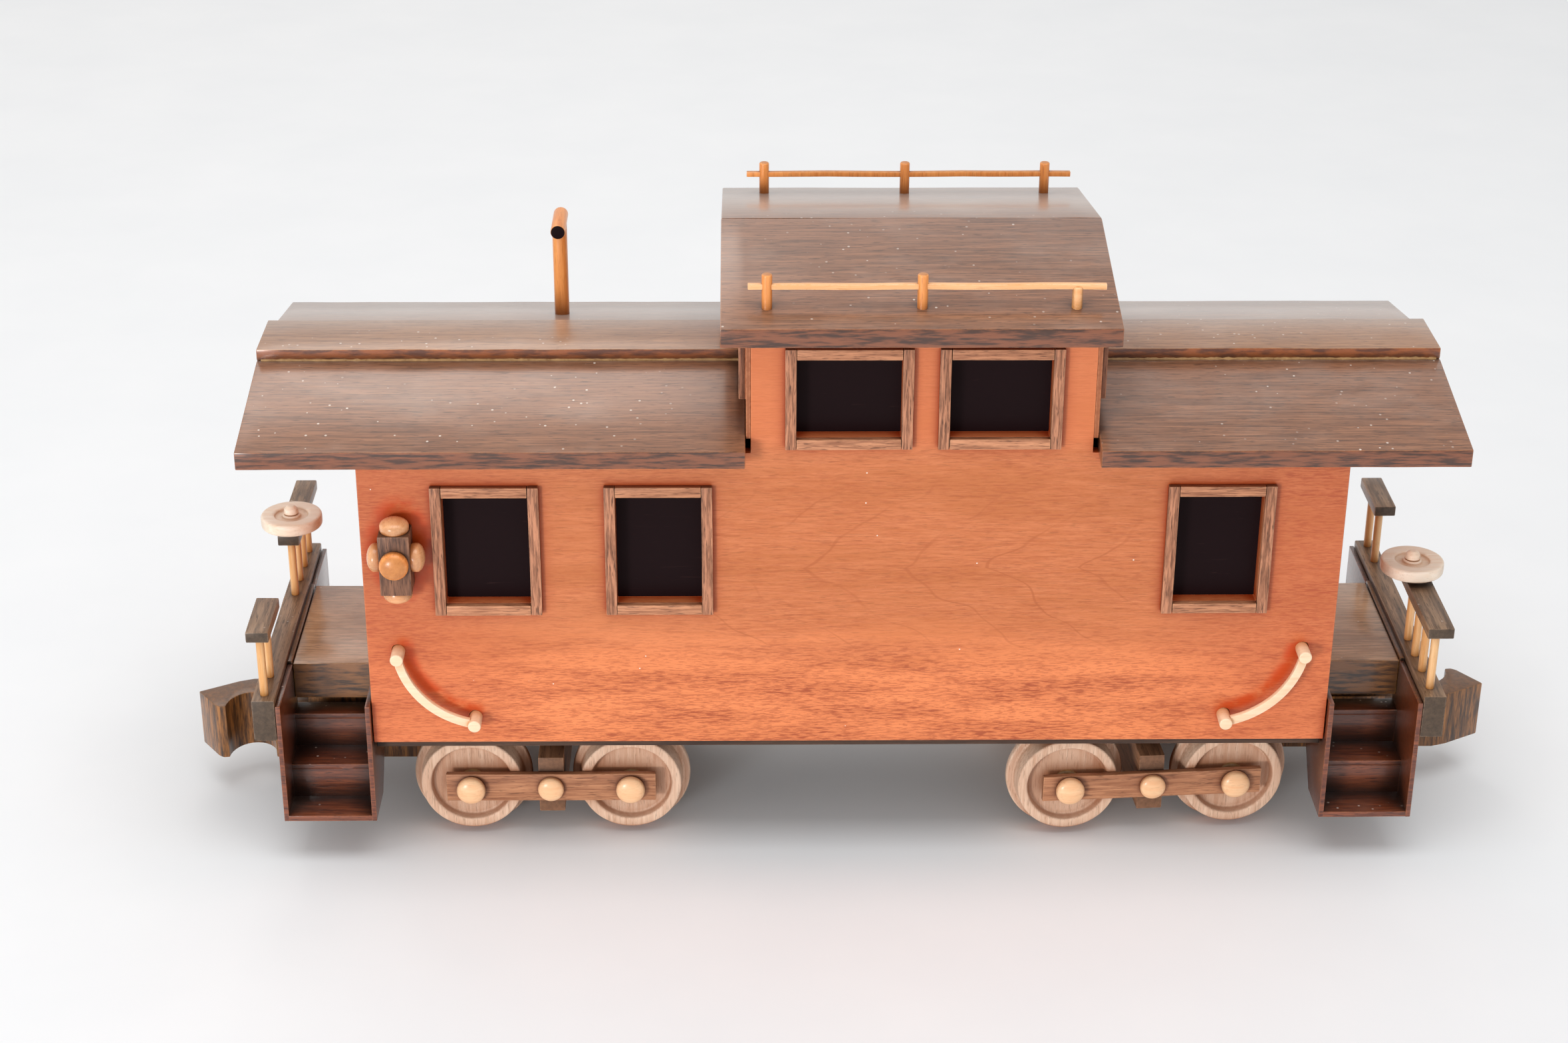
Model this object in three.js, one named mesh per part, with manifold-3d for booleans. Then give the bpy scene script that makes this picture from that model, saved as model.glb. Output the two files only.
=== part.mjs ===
// Wooden model caboose: a stained car body with a raised cupola, end platforms with steps and railings,
// carved couplers, and two swivelling trucks with flanged wheels. Millimetres, +Z up, +X along the car.
// The origin is the middle of the car on the plane that the wheel flanges stand on.
import * as THREE from 'three';
import { mergeVertices } from 'three/addons/utils/BufferGeometryUtils.js';
import Module from 'manifold-3d';

const wasm = await Module();
wasm.setup();

// ---- Driving dimensions ----

// Gaps between glued pieces, between pieces that meet at an angle, and around pegs in their holes.
const GLUE_GAP = 0.1;
const FIT_GAP = 0.3;
const HOLE_GAP = 0.15;
// How far joined shapes run into each other, and how far cutters run past the faces they open.
const REACH = 1;

// Wheels and trucks
const FLANGE_RADIUS = 29.1;
const TREAD_RADIUS = 24.9;
const RIM_WIDTH = 4.7;
const WHEEL_THICKNESS = 14.5;
const FLANGE_THICKNESS = 4.3;
const FLANGE_FILLET = 0.6;
const DISH_DEPTH = 4.2;
const DISH_SLOPE = 1.0;
const AXLE_RADIUS = 3.1;
const WHEEL_FACE_Y = 59.0;
const WHEEL_PLAY = 0.6;
const SIDE_BAR_THICKNESS = 3.2;
const BOLSTER_WIDTH = 12.6;
const BOLSTER_HEIGHT = 31.0;
const AXLE_CAP = { radius: 7.05, height: 5.4 };
const BOLSTER_CAP = { radius: 6.35, height: 4.8 };
const KINGPIN_RADIUS = 3.1;
const KINGPIN_STOP = 2;
const TRUCK_X = 145.8;
// The two trucks are hand made, and the right one is a little longer and stands slightly turned.
const LEFT_TRUCK = { x: -TRUCK_X, turn: 0, wheelbase: 78.2, barLength: 102.8, barHeight: 15.0 };
const RIGHT_TRUCK = { x: TRUCK_X, turn: 4.2, wheelbase: 82.6, barLength: 108.8, barHeight: 13.6 };

// Heights from here on are above the side walls' bottom edge, which stands AXLE_DROP over the axles.
const AXLE_DROP = 36.2;
const BODY_Z = FLANGE_RADIUS + AXLE_DROP;

// Body box
const BODY_LENGTH = 457.2;
const BODY_WIDTH = 160.2;
const WALL = 6.35;
const WALL_TOP = 152.2;
const FLOOR_THICKNESS = 6.0;
const FLOOR_INSET = 6.3;
const PIVOT_PAD = 50;
const BOLSTER_TOP = -20.7;

// Main roof: two sloping boards each side of the cupola, with a running board along the ridge.
const ROOF_LENGTH = 561.8;
const ROOF_WIDTH = 185.6;
const ROOF_EAVE = 150.0;
const ROOF_THICKNESS = 8.6;
const ROOF_SLOPE = 0.187;
const RUNNING_BOARD_SPAN = [-18.0, 20.0];
const RUNNING_BOARD_TOP = 178.0;
const RUNNING_BOARD_THICKNESS = 5.6;

// Cupola
const CUPOLA_LEFT = -47.5;
const CUPOLA_RIGHT = 109.3;
const CUPOLA_END_THICKNESS = 2.1;
const CUPOLA_END_SINK = 1.5;
const CUPOLA_END_REBATE = 0.5;
const CUPOLA_WALL_TOP = 212.5;
const CUPOLA_ROOF_LEFT = -61.0;
const CUPOLA_ROOF_RIGHT = 118.2;
const CUPOLA_ROOF_WIDTH = 189.8;
const CUPOLA_EAVE = 210.0;
const CUPOLA_ROOF_THICKNESS = 9.1;
const CUPOLA_SLOPE = 0.1887;
const CUPOLA_OUTER_LEFT = CUPOLA_LEFT - GLUE_GAP - CUPOLA_END_THICKNESS;
const CUPOLA_OUTER_RIGHT = CUPOLA_RIGHT + GLUE_GAP + CUPOLA_END_THICKNESS;

// Windows: openings as centre x, width, bottom and top, with frames of thin strips glued round them.
const STRIP_WIDTH = 5.1;
const STRIP_THICKNESS = 3.2;
const SIDE_WINDOWS = [-170.2, -90.2, 170.2].map((x) => ({ x, width: 39.8, bottom: 75.4, top: 131.1 }));
const CUPOLA_WINDOWS = [
  { x: -2.8, width: 48.0, bottom: 160.2, top: 199.3 },
  { x: 66.2, width: 46.2, bottom: 160.2, top: 199.3 },
];
const END_WINDOW = { y: 46.5, width: 41.0, bottom: 180.8, top: 199.2 };

// A dark liner behind all the windows: panels inside both side walls, joined across both cupola ends
const LINER = { thickness: 2.0, halfLength: 215, shoulder: 146.0, top: 208.0, crossBottom: 168.0 };

// End platforms, end beams and railings
const PLATFORM_WIDTH = 83.4;
const PLATFORM_TOP = 22.0;
const PLATFORM_THICKNESS = 19.1;
const BEAM_INNER_X = 274.1;
const BEAM_THICKNESS = 10.8;
const BEAM_LENGTH = 169.2;
const BEAM_TOP = 25.5;
const BEAM_HEIGHT = 22.0;
const BACKING_THICKNESS = 2.4;
const BACKING_TOP = 23.4;
const POST_RADIUS = 2.0;
const POST_DEPTH = 5.0;
const RAIL_CAP_TOP = 62.2;
const RAIL_CAP_THICKNESS = 5.4;
const RAIL_CAP_WIDTH = 10.8;
const LONG_RAIL = { inner: 18.0, posts: [26.0, 42.4, 58.0, 75.2] };
const SHORT_RAIL = { inner: 48.6, posts: [60.0, 78.0] };

// Brake wheels, each on a headed pin at the inner end of a long railing
const BRAKE_WHEEL = { radius: 15.3, rim: 4.6, thickness: 6.2, hubRadius: 5.5, web: 2.4, corner: 1.4 };
const BRAKE_WHEEL_BOTTOM = 64.3;
const BRAKE_PIN = { radius: 1.6, head: 3.8, headHeight: 4.2, depth: 2.4 };
// The pin's head as shares of its radius and of its height.
const PIN_DOME = [[0.9, 0.55], [0.5, 0.92]];
const BRAKE_WHEEL_Y = 27.0;
const LEFT_BRAKE_X = -278.5;
const RIGHT_BRAKE_X = 276.2;

// Steps, one flight under each corner
const STEP_BOARD = 2.4;
const STEP_FRONT = 84.6;
const STEP_BOTTOM = -41.5;
const STEP_THICKNESS = 3.0;
const STEP_RISE = 17.9;
const STEP_RUN = 18.6;
const STEP_INNER_X = 229.0;
const STEP_OUTER_X = 273.9;
const RISER_THICKNESS = 3.2;
const STEP_TUCK = 6;
// The side boards' back edge runs up from the heel to the shoulder, as [y, z] and z.
const STEP_HEEL = [58, STEP_BOTTOM];
const STEP_SHOULDER = -15;

// Couplers: a thick shank with a hook cut out of one side, under the end platform
const COUPLER_TOP = -15.5;
const COUPLER_HEIGHT = 29.7;
const COUPLER_INNER_X = 206.0;
const COUPLER_OUTER_X = 327.2;
const COUPLER_NEAR = -18.0;
const COUPLER_FAR = 11.2;
const COUPLER_NOSE = [[301, COUPLER_FAR], [COUPLER_OUTER_X, -2], [317, -16.2], [314.4, COUPLER_NEAR]];
const COUPLER_BLOCK = { length: 41.0, nearInset: 4, farInset: 1 };
const HOOK_NOTCH = { x: 299.5, y: -17.6, radius: 11.8, stretch: 1.22 };

// Roof fittings, handles and marker lamps
const STACK = { x: -141.3, y: 61.8, radius: 3.65, seat: 2, capLength: 27.4, capRadius: 3.6, capZ: 212.3 };
const GRAB_RAIL = { y: 77.0, size: 2.6, z: 232.5, left: -48.8, right: 111.8 };
const GRAB_POST = { radius: 2.4, height: 16.0, depth: 4.0, crown: 1.6, x: [-40.2, 29.5, 98.8] };
const HANDLE_PEG = { radius: 2.7, out: 9.6, depth: 4.0 };
const HANDLE_ENDS = { high: [214.4, 50.4], low: [179.4, 14.6] };
const HANDLE_STRIP = { width: 4.6, thickness: 2.6, bow: 7.9, standOff: 5.6 };
const LAMP = { x: -211.5, width: 14.6, depth: 14.4, bottom: 86.4, top: 116.9, buttonRise: 1.4 };
const LAMP_BUTTON = { radius: 6.8, height: 6.2, embed: 1.0 };

// Facets round a full turn
const FINE = 28;
const MEDIUM = 16;
const COARSE = 12;

// ---- Materials ----

function wood(name, color, roughness) {
  const material = new THREE.MeshStandardMaterial({ color, roughness, metalness: 0 });
  material.name = name;
  return material;
}

const RED_STAIN = wood('red stained wood', 0xd07a4e, 0.55);
const WALNUT = wood('walnut', 0x5f4332, 0.4);
const TRIM = wood('brown trim wood', 0x7d5a42, 0.55);
const DARK = wood('dark stained wood', 0x4a3526, 0.5);
const MAHOGANY = wood('mahogany', 0x54281c, 0.5);
const MAPLE = wood('maple', 0xe8bd8c, 0.45);
const AMBER = wood('amber stained dowel', 0xd98a46, 0.4);
const BEECH = wood('beech', 0xc9a085, 0.6);
const BAR_WOOD = wood('bar walnut', 0x8a5f48, 0.55);
const BLACK = wood('black liner board', 0x14100f, 0.3);

// ---- Solids ----

function toSolid(geometry) {
  const bare = geometry.clone();
  bare.deleteAttribute('normal');
  bare.deleteAttribute('uv');
  const merged = mergeVertices(bare, 1e-4);
  const vertProperties = new Float32Array(merged.attributes.position.array);
  const triVerts = new Uint32Array(merged.index.array);
  return new wasm.Manifold(new wasm.Mesh({ numProp: 3, vertProperties, triVerts }));
}

function toGeometry(solid) {
  const mesh = solid.getMesh();
  const geometry = new THREE.BufferGeometry();
  geometry.setAttribute('position', new THREE.BufferAttribute(mesh.vertProperties, 3));
  geometry.setIndex(new THREE.BufferAttribute(mesh.triVerts, 1));
  geometry.computeVertexNormals();
  return geometry;
}

function join(...geometries) {
  const [first, ...rest] = geometries.map(toSolid);
  return toGeometry(rest.reduce((sum, next) => sum.add(next), first));
}

function cut(geometry, ...tools) {
  return toGeometry(tools.map(toSolid).reduce((rest, tool) => rest.subtract(tool), toSolid(geometry)));
}

// A box given by its low and high ends along each axis, in either order.
function block(x, y, z) {
  const spans = [x, y, z].map(([a, b]) => [Math.min(a, b), Math.max(a, b)]);
  const [width, depth, height] = spans.map(([low, high]) => high - low);
  const [cx, cy, cz] = spans.map(([low, high]) => (low + high) / 2);
  return new THREE.BoxGeometry(width, depth, height).translate(cx, cy, cz);
}

// The rotation that takes a shape drawn in its own XY plane, extruded along its own Z, to the given axis.
const TO_AXIS = {
  x: new THREE.Matrix4().makeBasis(unit(0, 1, 0), unit(0, 0, 1), unit(1, 0, 0)),
  y: new THREE.Matrix4().makeBasis(unit(-1, 0, 0), unit(0, 0, 1), unit(0, 1, 0)),
  z: new THREE.Matrix4(),
};

function unit(x, y, z) {
  return new THREE.Vector3(x, y, z);
}

// A straight extrusion along an axis from low to high. Outline points are [y, z] along x, [x, z] along y
// and [x, y] along z.
function extruded(axis, [low, high], outline) {
  const flip = axis === 'y' ? -1 : 1;
  const shape = new THREE.Shape(outline.map(([u, v]) => new THREE.Vector2(flip * u, v)));
  const geometry = new THREE.ExtrudeGeometry(shape, { depth: high - low, bevelEnabled: false });
  return geometry.translate(0, 0, low).applyMatrix4(TO_AXIS[axis]);
}

// An extrusion with openings cut right through it, each given by its own outline.
function board(axis, [low, high], outline, openings = []) {
  const solid = extruded(axis, [low, high], outline);
  const cutters = openings.map((points) => extruded(axis, [low - REACH, high + REACH], points));
  return cutters.length ? cut(solid, ...cutters) : solid;
}

// A turned solid from a profile of [radius, distance] points, starting and ending on the axis.
function turned(profile, segments = COARSE) {
  const points = profile.map(([radius, along]) => new THREE.Vector2(radius, along));
  return new THREE.LatheGeometry(points, segments).rotateX(Math.PI / 2);
}

function rod(radius, [low, high], segments = COARSE) {
  return turned([[0, low], [radius, low], [radius, high], [0, high]], segments);
}

// A domed button standing on z = 0, with a stub of the given depth below it.
function button({ radius, height }, stub, segments = MEDIUM) {
  const shoulder = height * 0.42;
  const dome = [0, 0.35, 0.7].map((turn) => [
    radius * Math.cos(turn * Math.PI / 2),
    shoulder + (height - shoulder) * Math.sin(turn * Math.PI / 2),
  ]);
  return turned([[0, -stub], [radius, -stub], ...dome, [0, height]], segments);
}

const alongY = (geometry) => geometry.rotateX(-Math.PI / 2);

function rectangle([left, right], [bottom, top]) {
  return [[left, bottom], [right, bottom], [right, top], [left, top]];
}

function mesh(name, geometry, material) {
  const made = new THREE.Mesh(geometry, material);
  made.name = name;
  return made;
}

// ---- Heights of the roof surfaces at a distance y from the centre line ----

const roofUnder = (y) => ROOF_EAVE + (ROOF_WIDTH / 2 - Math.abs(y)) * ROOF_SLOPE;
const roofTop = (y) => roofUnder(y) + ROOF_THICKNESS;
const cupolaUnder = (y) => CUPOLA_EAVE + (CUPOLA_ROOF_WIDTH / 2 - Math.abs(y)) * CUPOLA_SLOPE;
const cupolaTop = (y) => cupolaUnder(y) + CUPOLA_ROOF_THICKNESS;

// ---- Body box ----

const SIDES = { near: -1, far: 1 };
const ENDS = { left: -1, right: 1 };
const HALF_BODY = BODY_LENGTH / 2;
const OUTER_Y = BODY_WIDTH / 2;
const INNER_Y = OUTER_Y - WALL;

function windowHole({ x, width, bottom, top }) {
  return rectangle([x - width / 2, x + width / 2], [bottom, top]);
}

function sideWall(side) {
  const outline = [
    [-HALF_BODY, 0], [HALF_BODY, 0], [HALF_BODY, WALL_TOP],
    [CUPOLA_RIGHT, WALL_TOP], [CUPOLA_RIGHT, CUPOLA_WALL_TOP],
    [CUPOLA_LEFT, CUPOLA_WALL_TOP], [CUPOLA_LEFT, WALL_TOP], [-HALF_BODY, WALL_TOP],
  ];
  const openings = [...SIDE_WINDOWS, ...CUPOLA_WINDOWS].map(windowHole);
  const thickness = side < 0 ? [-OUTER_Y, -INNER_Y] : [INNER_Y, OUTER_Y];
  const wall = board('y', thickness, outline, openings);
  const holes = Object.values(ENDS).flatMap((end) => [HANDLE_ENDS.high, HANDLE_ENDS.low].map(([x, z]) =>
    pegAlongY(HANDLE_PEG.radius + HOLE_GAP, side, OUTER_Y - HANDLE_PEG.depth - HOLE_GAP, OUTER_Y + REACH)
      .translate(end * x, 0, z)));
  return cut(wall, ...holes);
}

// A round peg along Y between two distances from the centre line, on the given side.
function pegAlongY(radius, side, from, to) {
  return alongY(rod(radius, [Math.min(side * from, side * to), Math.max(side * from, side * to)]));
}

function endWall(end) {
  const halfWidth = INNER_Y - GLUE_GAP;
  const notch = PLATFORM_WIDTH / 2 + GLUE_GAP;
  const eave = roofUnder(halfWidth) - FIT_GAP;
  const outline = [
    [notch, 0], [halfWidth, 0], [halfWidth, eave], [0, roofUnder(0) - FIT_GAP], [-halfWidth, eave],
    [-halfWidth, 0], [-notch, 0], [-notch, PLATFORM_TOP + GLUE_GAP], [notch, PLATFORM_TOP + GLUE_GAP],
  ];
  const span = end < 0 ? [-HALF_BODY, WALL - HALF_BODY] : [HALF_BODY - WALL, HALF_BODY];
  return board('x', span, outline);
}

// The thin floor under the walls, with a pivot pad and a kingpin for each truck.
function floorPanel() {
  const halfLength = HALF_BODY - FIT_GAP;
  const halfWidth = OUTER_Y - FLOOR_INSET;
  const panel = block([-halfLength, halfLength], [-halfWidth, halfWidth], [-FLOOR_THICKNESS, -GLUE_GAP]);
  const fittings = [LEFT_TRUCK, RIGHT_TRUCK].flatMap(({ x }) => [
    block([x - PIVOT_PAD / 2, x + PIVOT_PAD / 2], [-PIVOT_PAD / 2, PIVOT_PAD / 2],
      [BOLSTER_TOP + FIT_GAP, -REACH]),
    rod(KINGPIN_RADIUS, [BOLSTER_TOP - BOLSTER_HEIGHT + KINGPIN_STOP, -REACH]).translate(x, 0, 0),
  ]);
  return join(panel, ...fittings);
}

function platformBoard() {
  const halfLength = BEAM_INNER_X - BACKING_THICKNESS - 2 * GLUE_GAP;
  const halfWidth = PLATFORM_WIDTH / 2;
  const bottom = PLATFORM_TOP - PLATFORM_THICKNESS;
  return block([-halfLength, halfLength], [-halfWidth, halfWidth], [bottom, PLATFORM_TOP]);
}

function windowLiner() {
  const { thickness, halfLength, shoulder, top, crossBottom } = LINER;
  const face = INNER_Y - GLUE_GAP;
  const [left, right] = [CUPOLA_LEFT + GLUE_GAP, CUPOLA_RIGHT - GLUE_GAP];
  const panels = Object.values(SIDES).flatMap((side) => {
    const span = [side * face, side * (face - thickness)];
    return [
      block([-halfLength, halfLength], span, [GLUE_GAP, shoulder]),
      block([left, right], span, [shoulder - REACH, top]),
    ];
  });
  const crossings = [[left, left + thickness], [right - thickness, right]]
    .map((span) => block(span, [-face, face], [crossBottom, top]));
  return join(...panels, ...crossings);
}

// ---- Roofs ----

// One sloping roof board on one side of the ridge, planed flat below planedTop when that is given.
function slopingBoard(span, side, halfWidth, under, top, planedTop = Infinity) {
  const ridge = GLUE_GAP;
  const points = [[halfWidth, under(halfWidth)], [halfWidth, top(halfWidth)]];
  if (planedTop < top(ridge)) {
    const shoulder = halfWidth - (planedTop - top(halfWidth)) / ROOF_SLOPE;
    points.push([shoulder, planedTop], [ridge, planedTop]);
  } else {
    points.push([ridge, top(ridge)]);
  }
  points.push([ridge, under(ridge)]);
  const outline = points.map(([y, z]) => [side * y, z]);
  return board('x', span, outline);
}

const MAIN_ROOF_SPANS = {
  left: [-ROOF_LENGTH / 2, CUPOLA_OUTER_LEFT - FIT_GAP],
  right: [CUPOLA_OUTER_RIGHT + FIT_GAP, ROOF_LENGTH / 2],
};

function mainRoofBoard(endName, side) {
  const planedTop = RUNNING_BOARD_TOP - RUNNING_BOARD_THICKNESS - GLUE_GAP;
  const slab = slopingBoard(MAIN_ROOF_SPANS[endName], side, ROOF_WIDTH / 2, roofUnder, roofTop, planedTop);
  if (endName === 'right' || side < 0) return slab;
  const depth = [roofUnder(STACK.y) + STACK.seat, roofTop(STACK.y) + STACK.radius];
  const hole = rod(STACK.radius + HOLE_GAP, depth);
  return cut(slab, hole.translate(STACK.x, STACK.y, 0));
}

function runningBoard(endName) {
  const bottom = RUNNING_BOARD_TOP - RUNNING_BOARD_THICKNESS;
  return block(MAIN_ROOF_SPANS[endName], RUNNING_BOARD_SPAN, [bottom, RUNNING_BOARD_TOP]);
}

function cupolaRoofBoard(side) {
  const span = [CUPOLA_ROOF_LEFT, CUPOLA_ROOF_RIGHT];
  const slab = slopingBoard(span, side, CUPOLA_ROOF_WIDTH / 2, cupolaUnder, cupolaTop);
  const surface = cupolaTop(GRAB_RAIL.y);
  const holes = GRAB_POST.x.map((x) =>
    rod(GRAB_POST.radius + HOLE_GAP, [surface - GRAB_POST.depth - HOLE_GAP, surface + GRAB_POST.radius])
      .translate(x, side * GRAB_RAIL.y, 0));
  return cut(slab, ...holes);
}

// ---- Cupola ends, each a thin panel with two framed windows standing on the main roof ----

function cupolaEnd(end) {
  const outerX = end < 0 ? CUPOLA_OUTER_LEFT : CUPOLA_OUTER_RIGHT;
  const panelSpan = [outerX, outerX - end * CUPOLA_END_THICKNESS].sort((a, b) => a - b);
  const low = (y) => Math.min(roofTop(y), RUNNING_BOARD_TOP) - CUPOLA_END_SINK;
  const outline = [
    [-OUTER_Y, low(OUTER_Y)], [0, low(0)], [OUTER_Y, low(OUTER_Y)],
    [OUTER_Y, CUPOLA_WALL_TOP], [0, cupolaUnder(0) - FIT_GAP], [-OUTER_Y, CUPOLA_WALL_TOP],
  ];
  const { y, width, bottom, top } = END_WINDOW;
  const holes = [-y, y].map((centre) => rectangle([centre - width / 2, centre + width / 2], [bottom, top]));
  const panel = board('x', panelSpan, outline, holes);
  const frameSpan = [outerX - end * CUPOLA_END_REBATE, outerX + end * STRIP_THICKNESS].sort((a, b) => a - b);
  const frames = [-y, y].map((centre) => frame('x', frameSpan, { x: centre, width, bottom, top }));
  return join(panel, ...frames);
}

function frame(axis, span, opening) {
  const { x, width, bottom, top } = opening;
  const half = width / 2 + STRIP_WIDTH;
  const outline = rectangle([x - half, x + half], [bottom - STRIP_WIDTH, top + STRIP_WIDTH]);
  return board(axis, span, outline, [windowHole(opening)]);
}

function sideFrame(side, opening) {
  const face = side * (OUTER_Y + GLUE_GAP);
  const span = [face, face + side * STRIP_THICKNESS].sort((a, b) => a - b);
  return frame('y', span, opening);
}

// ---- Roof fittings ----

// A dowel set in the roof with a short crossing dowel on top.
function smokestack() {
  const pipe = rod(STACK.radius, [roofUnder(STACK.y) + STACK.seat + HOLE_GAP, STACK.capZ], MEDIUM);
  const half = STACK.capLength / 2;
  const cap = alongY(rod(STACK.capRadius, [STACK.y - half, STACK.y + half], MEDIUM));
  return join(pipe.translate(STACK.x, STACK.y, 0), cap.translate(STACK.x, 0, STACK.capZ));
}

function grabRail(side) {
  const surface = cupolaTop(GRAB_RAIL.y);
  const top = surface + GRAB_POST.height;
  const foot = surface - GRAB_POST.depth;
  const { radius, crown } = GRAB_POST;
  const profile = [
    [0, foot], [radius, foot], [radius, top - crown], [radius * 0.7, top - crown / 4], [0, top],
  ];
  const posts = GRAB_POST.x.map((x) => turned(profile).translate(x, side * GRAB_RAIL.y, 0));
  const half = GRAB_RAIL.size / 2;
  const y = side * GRAB_RAIL.y;
  const strip = block([GRAB_RAIL.left, GRAB_RAIL.right], [y - half, y + half],
    [GRAB_RAIL.z - half, GRAB_RAIL.z + half]);
  return join(strip, ...posts);
}

// ---- Side fittings ----

// A bowed strip between two pegs: part of a ring through both peg centres, with the bow below the chord.
function grabHandle(side, end) {
  const [x1, z1] = HANDLE_ENDS.high;
  const [x2, z2] = HANDLE_ENDS.low;
  const chord = Math.hypot(x1 - x2, z1 - z2);
  const { width, thickness, bow, standOff } = HANDLE_STRIP;
  const radius = (chord * chord / 4 + bow * bow) / (2 * bow);
  const away = unit(z1 - z2, -(x1 - x2), 0).normalize().multiplyScalar(-(radius - bow));
  const centre = [(x1 + x2) / 2 + away.x, (z1 + z2) / 2 + away.y];
  const angle = ([x, z]) => Math.atan2(z - centre[1], x - centre[0]);
  const [from, to] = [angle([x2, z2]), angle([x1, z1])];
  const arc = (r) => Array.from({ length: MEDIUM / 2 + 1 }, (_, i) => from + (to - from) * i / (MEDIUM / 2))
    .map((a) => [end * (centre[0] + r * Math.cos(a)), centre[1] + r * Math.sin(a)]);
  const outline = [...arc(radius + width / 2), ...arc(radius - width / 2).reverse()];
  const face = side * (OUTER_Y + standOff);
  const strip = board('y', [face, face + side * thickness].sort((a, b) => a - b), outline);
  const pegs = [[x1, z1], [x2, z2]].map(([x, z]) =>
    pegAlongY(HANDLE_PEG.radius, side, OUTER_Y - HANDLE_PEG.depth, OUTER_Y + HANDLE_PEG.out)
      .translate(end * x, 0, z));
  return join(strip, ...pegs);
}

function markerLamp(side) {
  const { x, width, depth, bottom, top, buttonRise } = LAMP;
  const face = side * (OUTER_Y + GLUE_GAP);
  const front = face + side * depth;
  const box = block([x - width / 2, x + width / 2], [face, front], [bottom, top]);
  const middleY = (face + front) / 2;
  const middleZ = (bottom + top) / 2 + buttonRise;
  const knob = () => button(LAMP_BUTTON, LAMP_BUTTON.embed);
  const knobs = [
    knob().rotateX(-side * Math.PI / 2).translate(x, front, middleZ),
    knob().translate(x, middleY, top),
    knob().rotateX(Math.PI).translate(x, middleY, bottom),
    knob().rotateY(Math.PI / 2).translate(x + width / 2, middleY, middleZ),
    knob().rotateY(-Math.PI / 2).translate(x - width / 2, middleY, middleZ),
  ];
  return join(box, ...knobs);
}

// ---- End platforms ----

// Which side of the car the long railing of an end stands on: the two ends are turned half a turn.
const LONG_RAIL_SIDE = { left: 1, right: -1 };
const RAIL_X = BEAM_INNER_X + BEAM_THICKNESS / 2;

function endBeam(endName) {
  const end = ENDS[endName];
  const half = BEAM_LENGTH / 2;
  const bottom = BEAM_TOP - BEAM_HEIGHT;
  const inner = PLATFORM_WIDTH / 2 - FIT_GAP;
  const beam = block([end * BEAM_INNER_X, end * (BEAM_INNER_X + BEAM_THICKNESS)], [-half, half],
    [bottom, BEAM_TOP]);
  const backing = block([end * (BEAM_INNER_X - BACKING_THICKNESS), end * (BEAM_INNER_X + REACH)],
    [-inner, inner], [bottom, BACKING_TOP]);
  const longSide = LONG_RAIL_SIDE[endName];
  const feet = [
    ...LONG_RAIL.posts.map((y) => longSide * y),
    ...SHORT_RAIL.posts.map((y) => -longSide * y),
  ];
  const socket = [BEAM_TOP - POST_DEPTH - HOLE_GAP, BEAM_TOP + REACH];
  const holes = feet.map((y) => rod(POST_RADIUS + HOLE_GAP, socket).translate(end * RAIL_X, y, 0));
  return cut(join(beam, backing), ...holes);
}

// A cap board on round posts, on the far side of the car for side +1 and the near side for side -1. The long
// ones carry the brake wheel's pin at pinX.
function railing(end, side, { inner, posts }, pinX = null) {
  const half = RAIL_CAP_WIDTH / 2;
  const capBottom = RAIL_CAP_TOP - RAIL_CAP_THICKNESS;
  const cap = block([end * RAIL_X - half, end * RAIL_X + half], [side * inner, side * BEAM_LENGTH / 2],
    [capBottom, RAIL_CAP_TOP]);
  const rods = posts.map((y) => rod(POST_RADIUS, [BEAM_TOP - POST_DEPTH, capBottom + REACH])
    .translate(end * RAIL_X, side * y, 0));
  const pins = pinX === null ? [] : [brakePin().translate(pinX, side * BRAKE_WHEEL_Y, 0)];
  return join(cap, ...rods, ...pins);
}

function brakePin() {
  const { radius, head, headHeight, depth } = BRAKE_PIN;
  const seat = BRAKE_WHEEL_BOTTOM + BRAKE_WHEEL.thickness + FIT_GAP;
  const dome = PIN_DOME.map(([across, up]) => [head * across, seat + headHeight * up]);
  return turned([
    [0, RAIL_CAP_TOP - depth], [radius, RAIL_CAP_TOP - depth], [radius, seat], [head, seat],
    ...dome, [0, seat + headHeight],
  ]);
}

// A ring of rim and a thinner web with a raised hub, bored for its pin.
function brakeWheel(x, y) {
  const { radius, rim, thickness, hubRadius, web, corner } = BRAKE_WHEEL;
  const [low, high] = [(thickness - web) / 2, (thickness + web) / 2];
  const bore = BRAKE_PIN.radius + HOLE_GAP;
  const wheel = turned([
    [bore, 0], [hubRadius, 0], [hubRadius, low], [radius - rim, low], [radius - rim, 0],
    [radius - corner, 0], [radius, corner], [radius, thickness - corner], [radius - corner, thickness],
    [radius - rim, thickness], [radius - rim, high], [hubRadius, high], [hubRadius, thickness],
    [bore, thickness], [bore, 0],
  ], FINE);
  return wheel.translate(x, y, BRAKE_WHEEL_BOTTOM);
}

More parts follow.
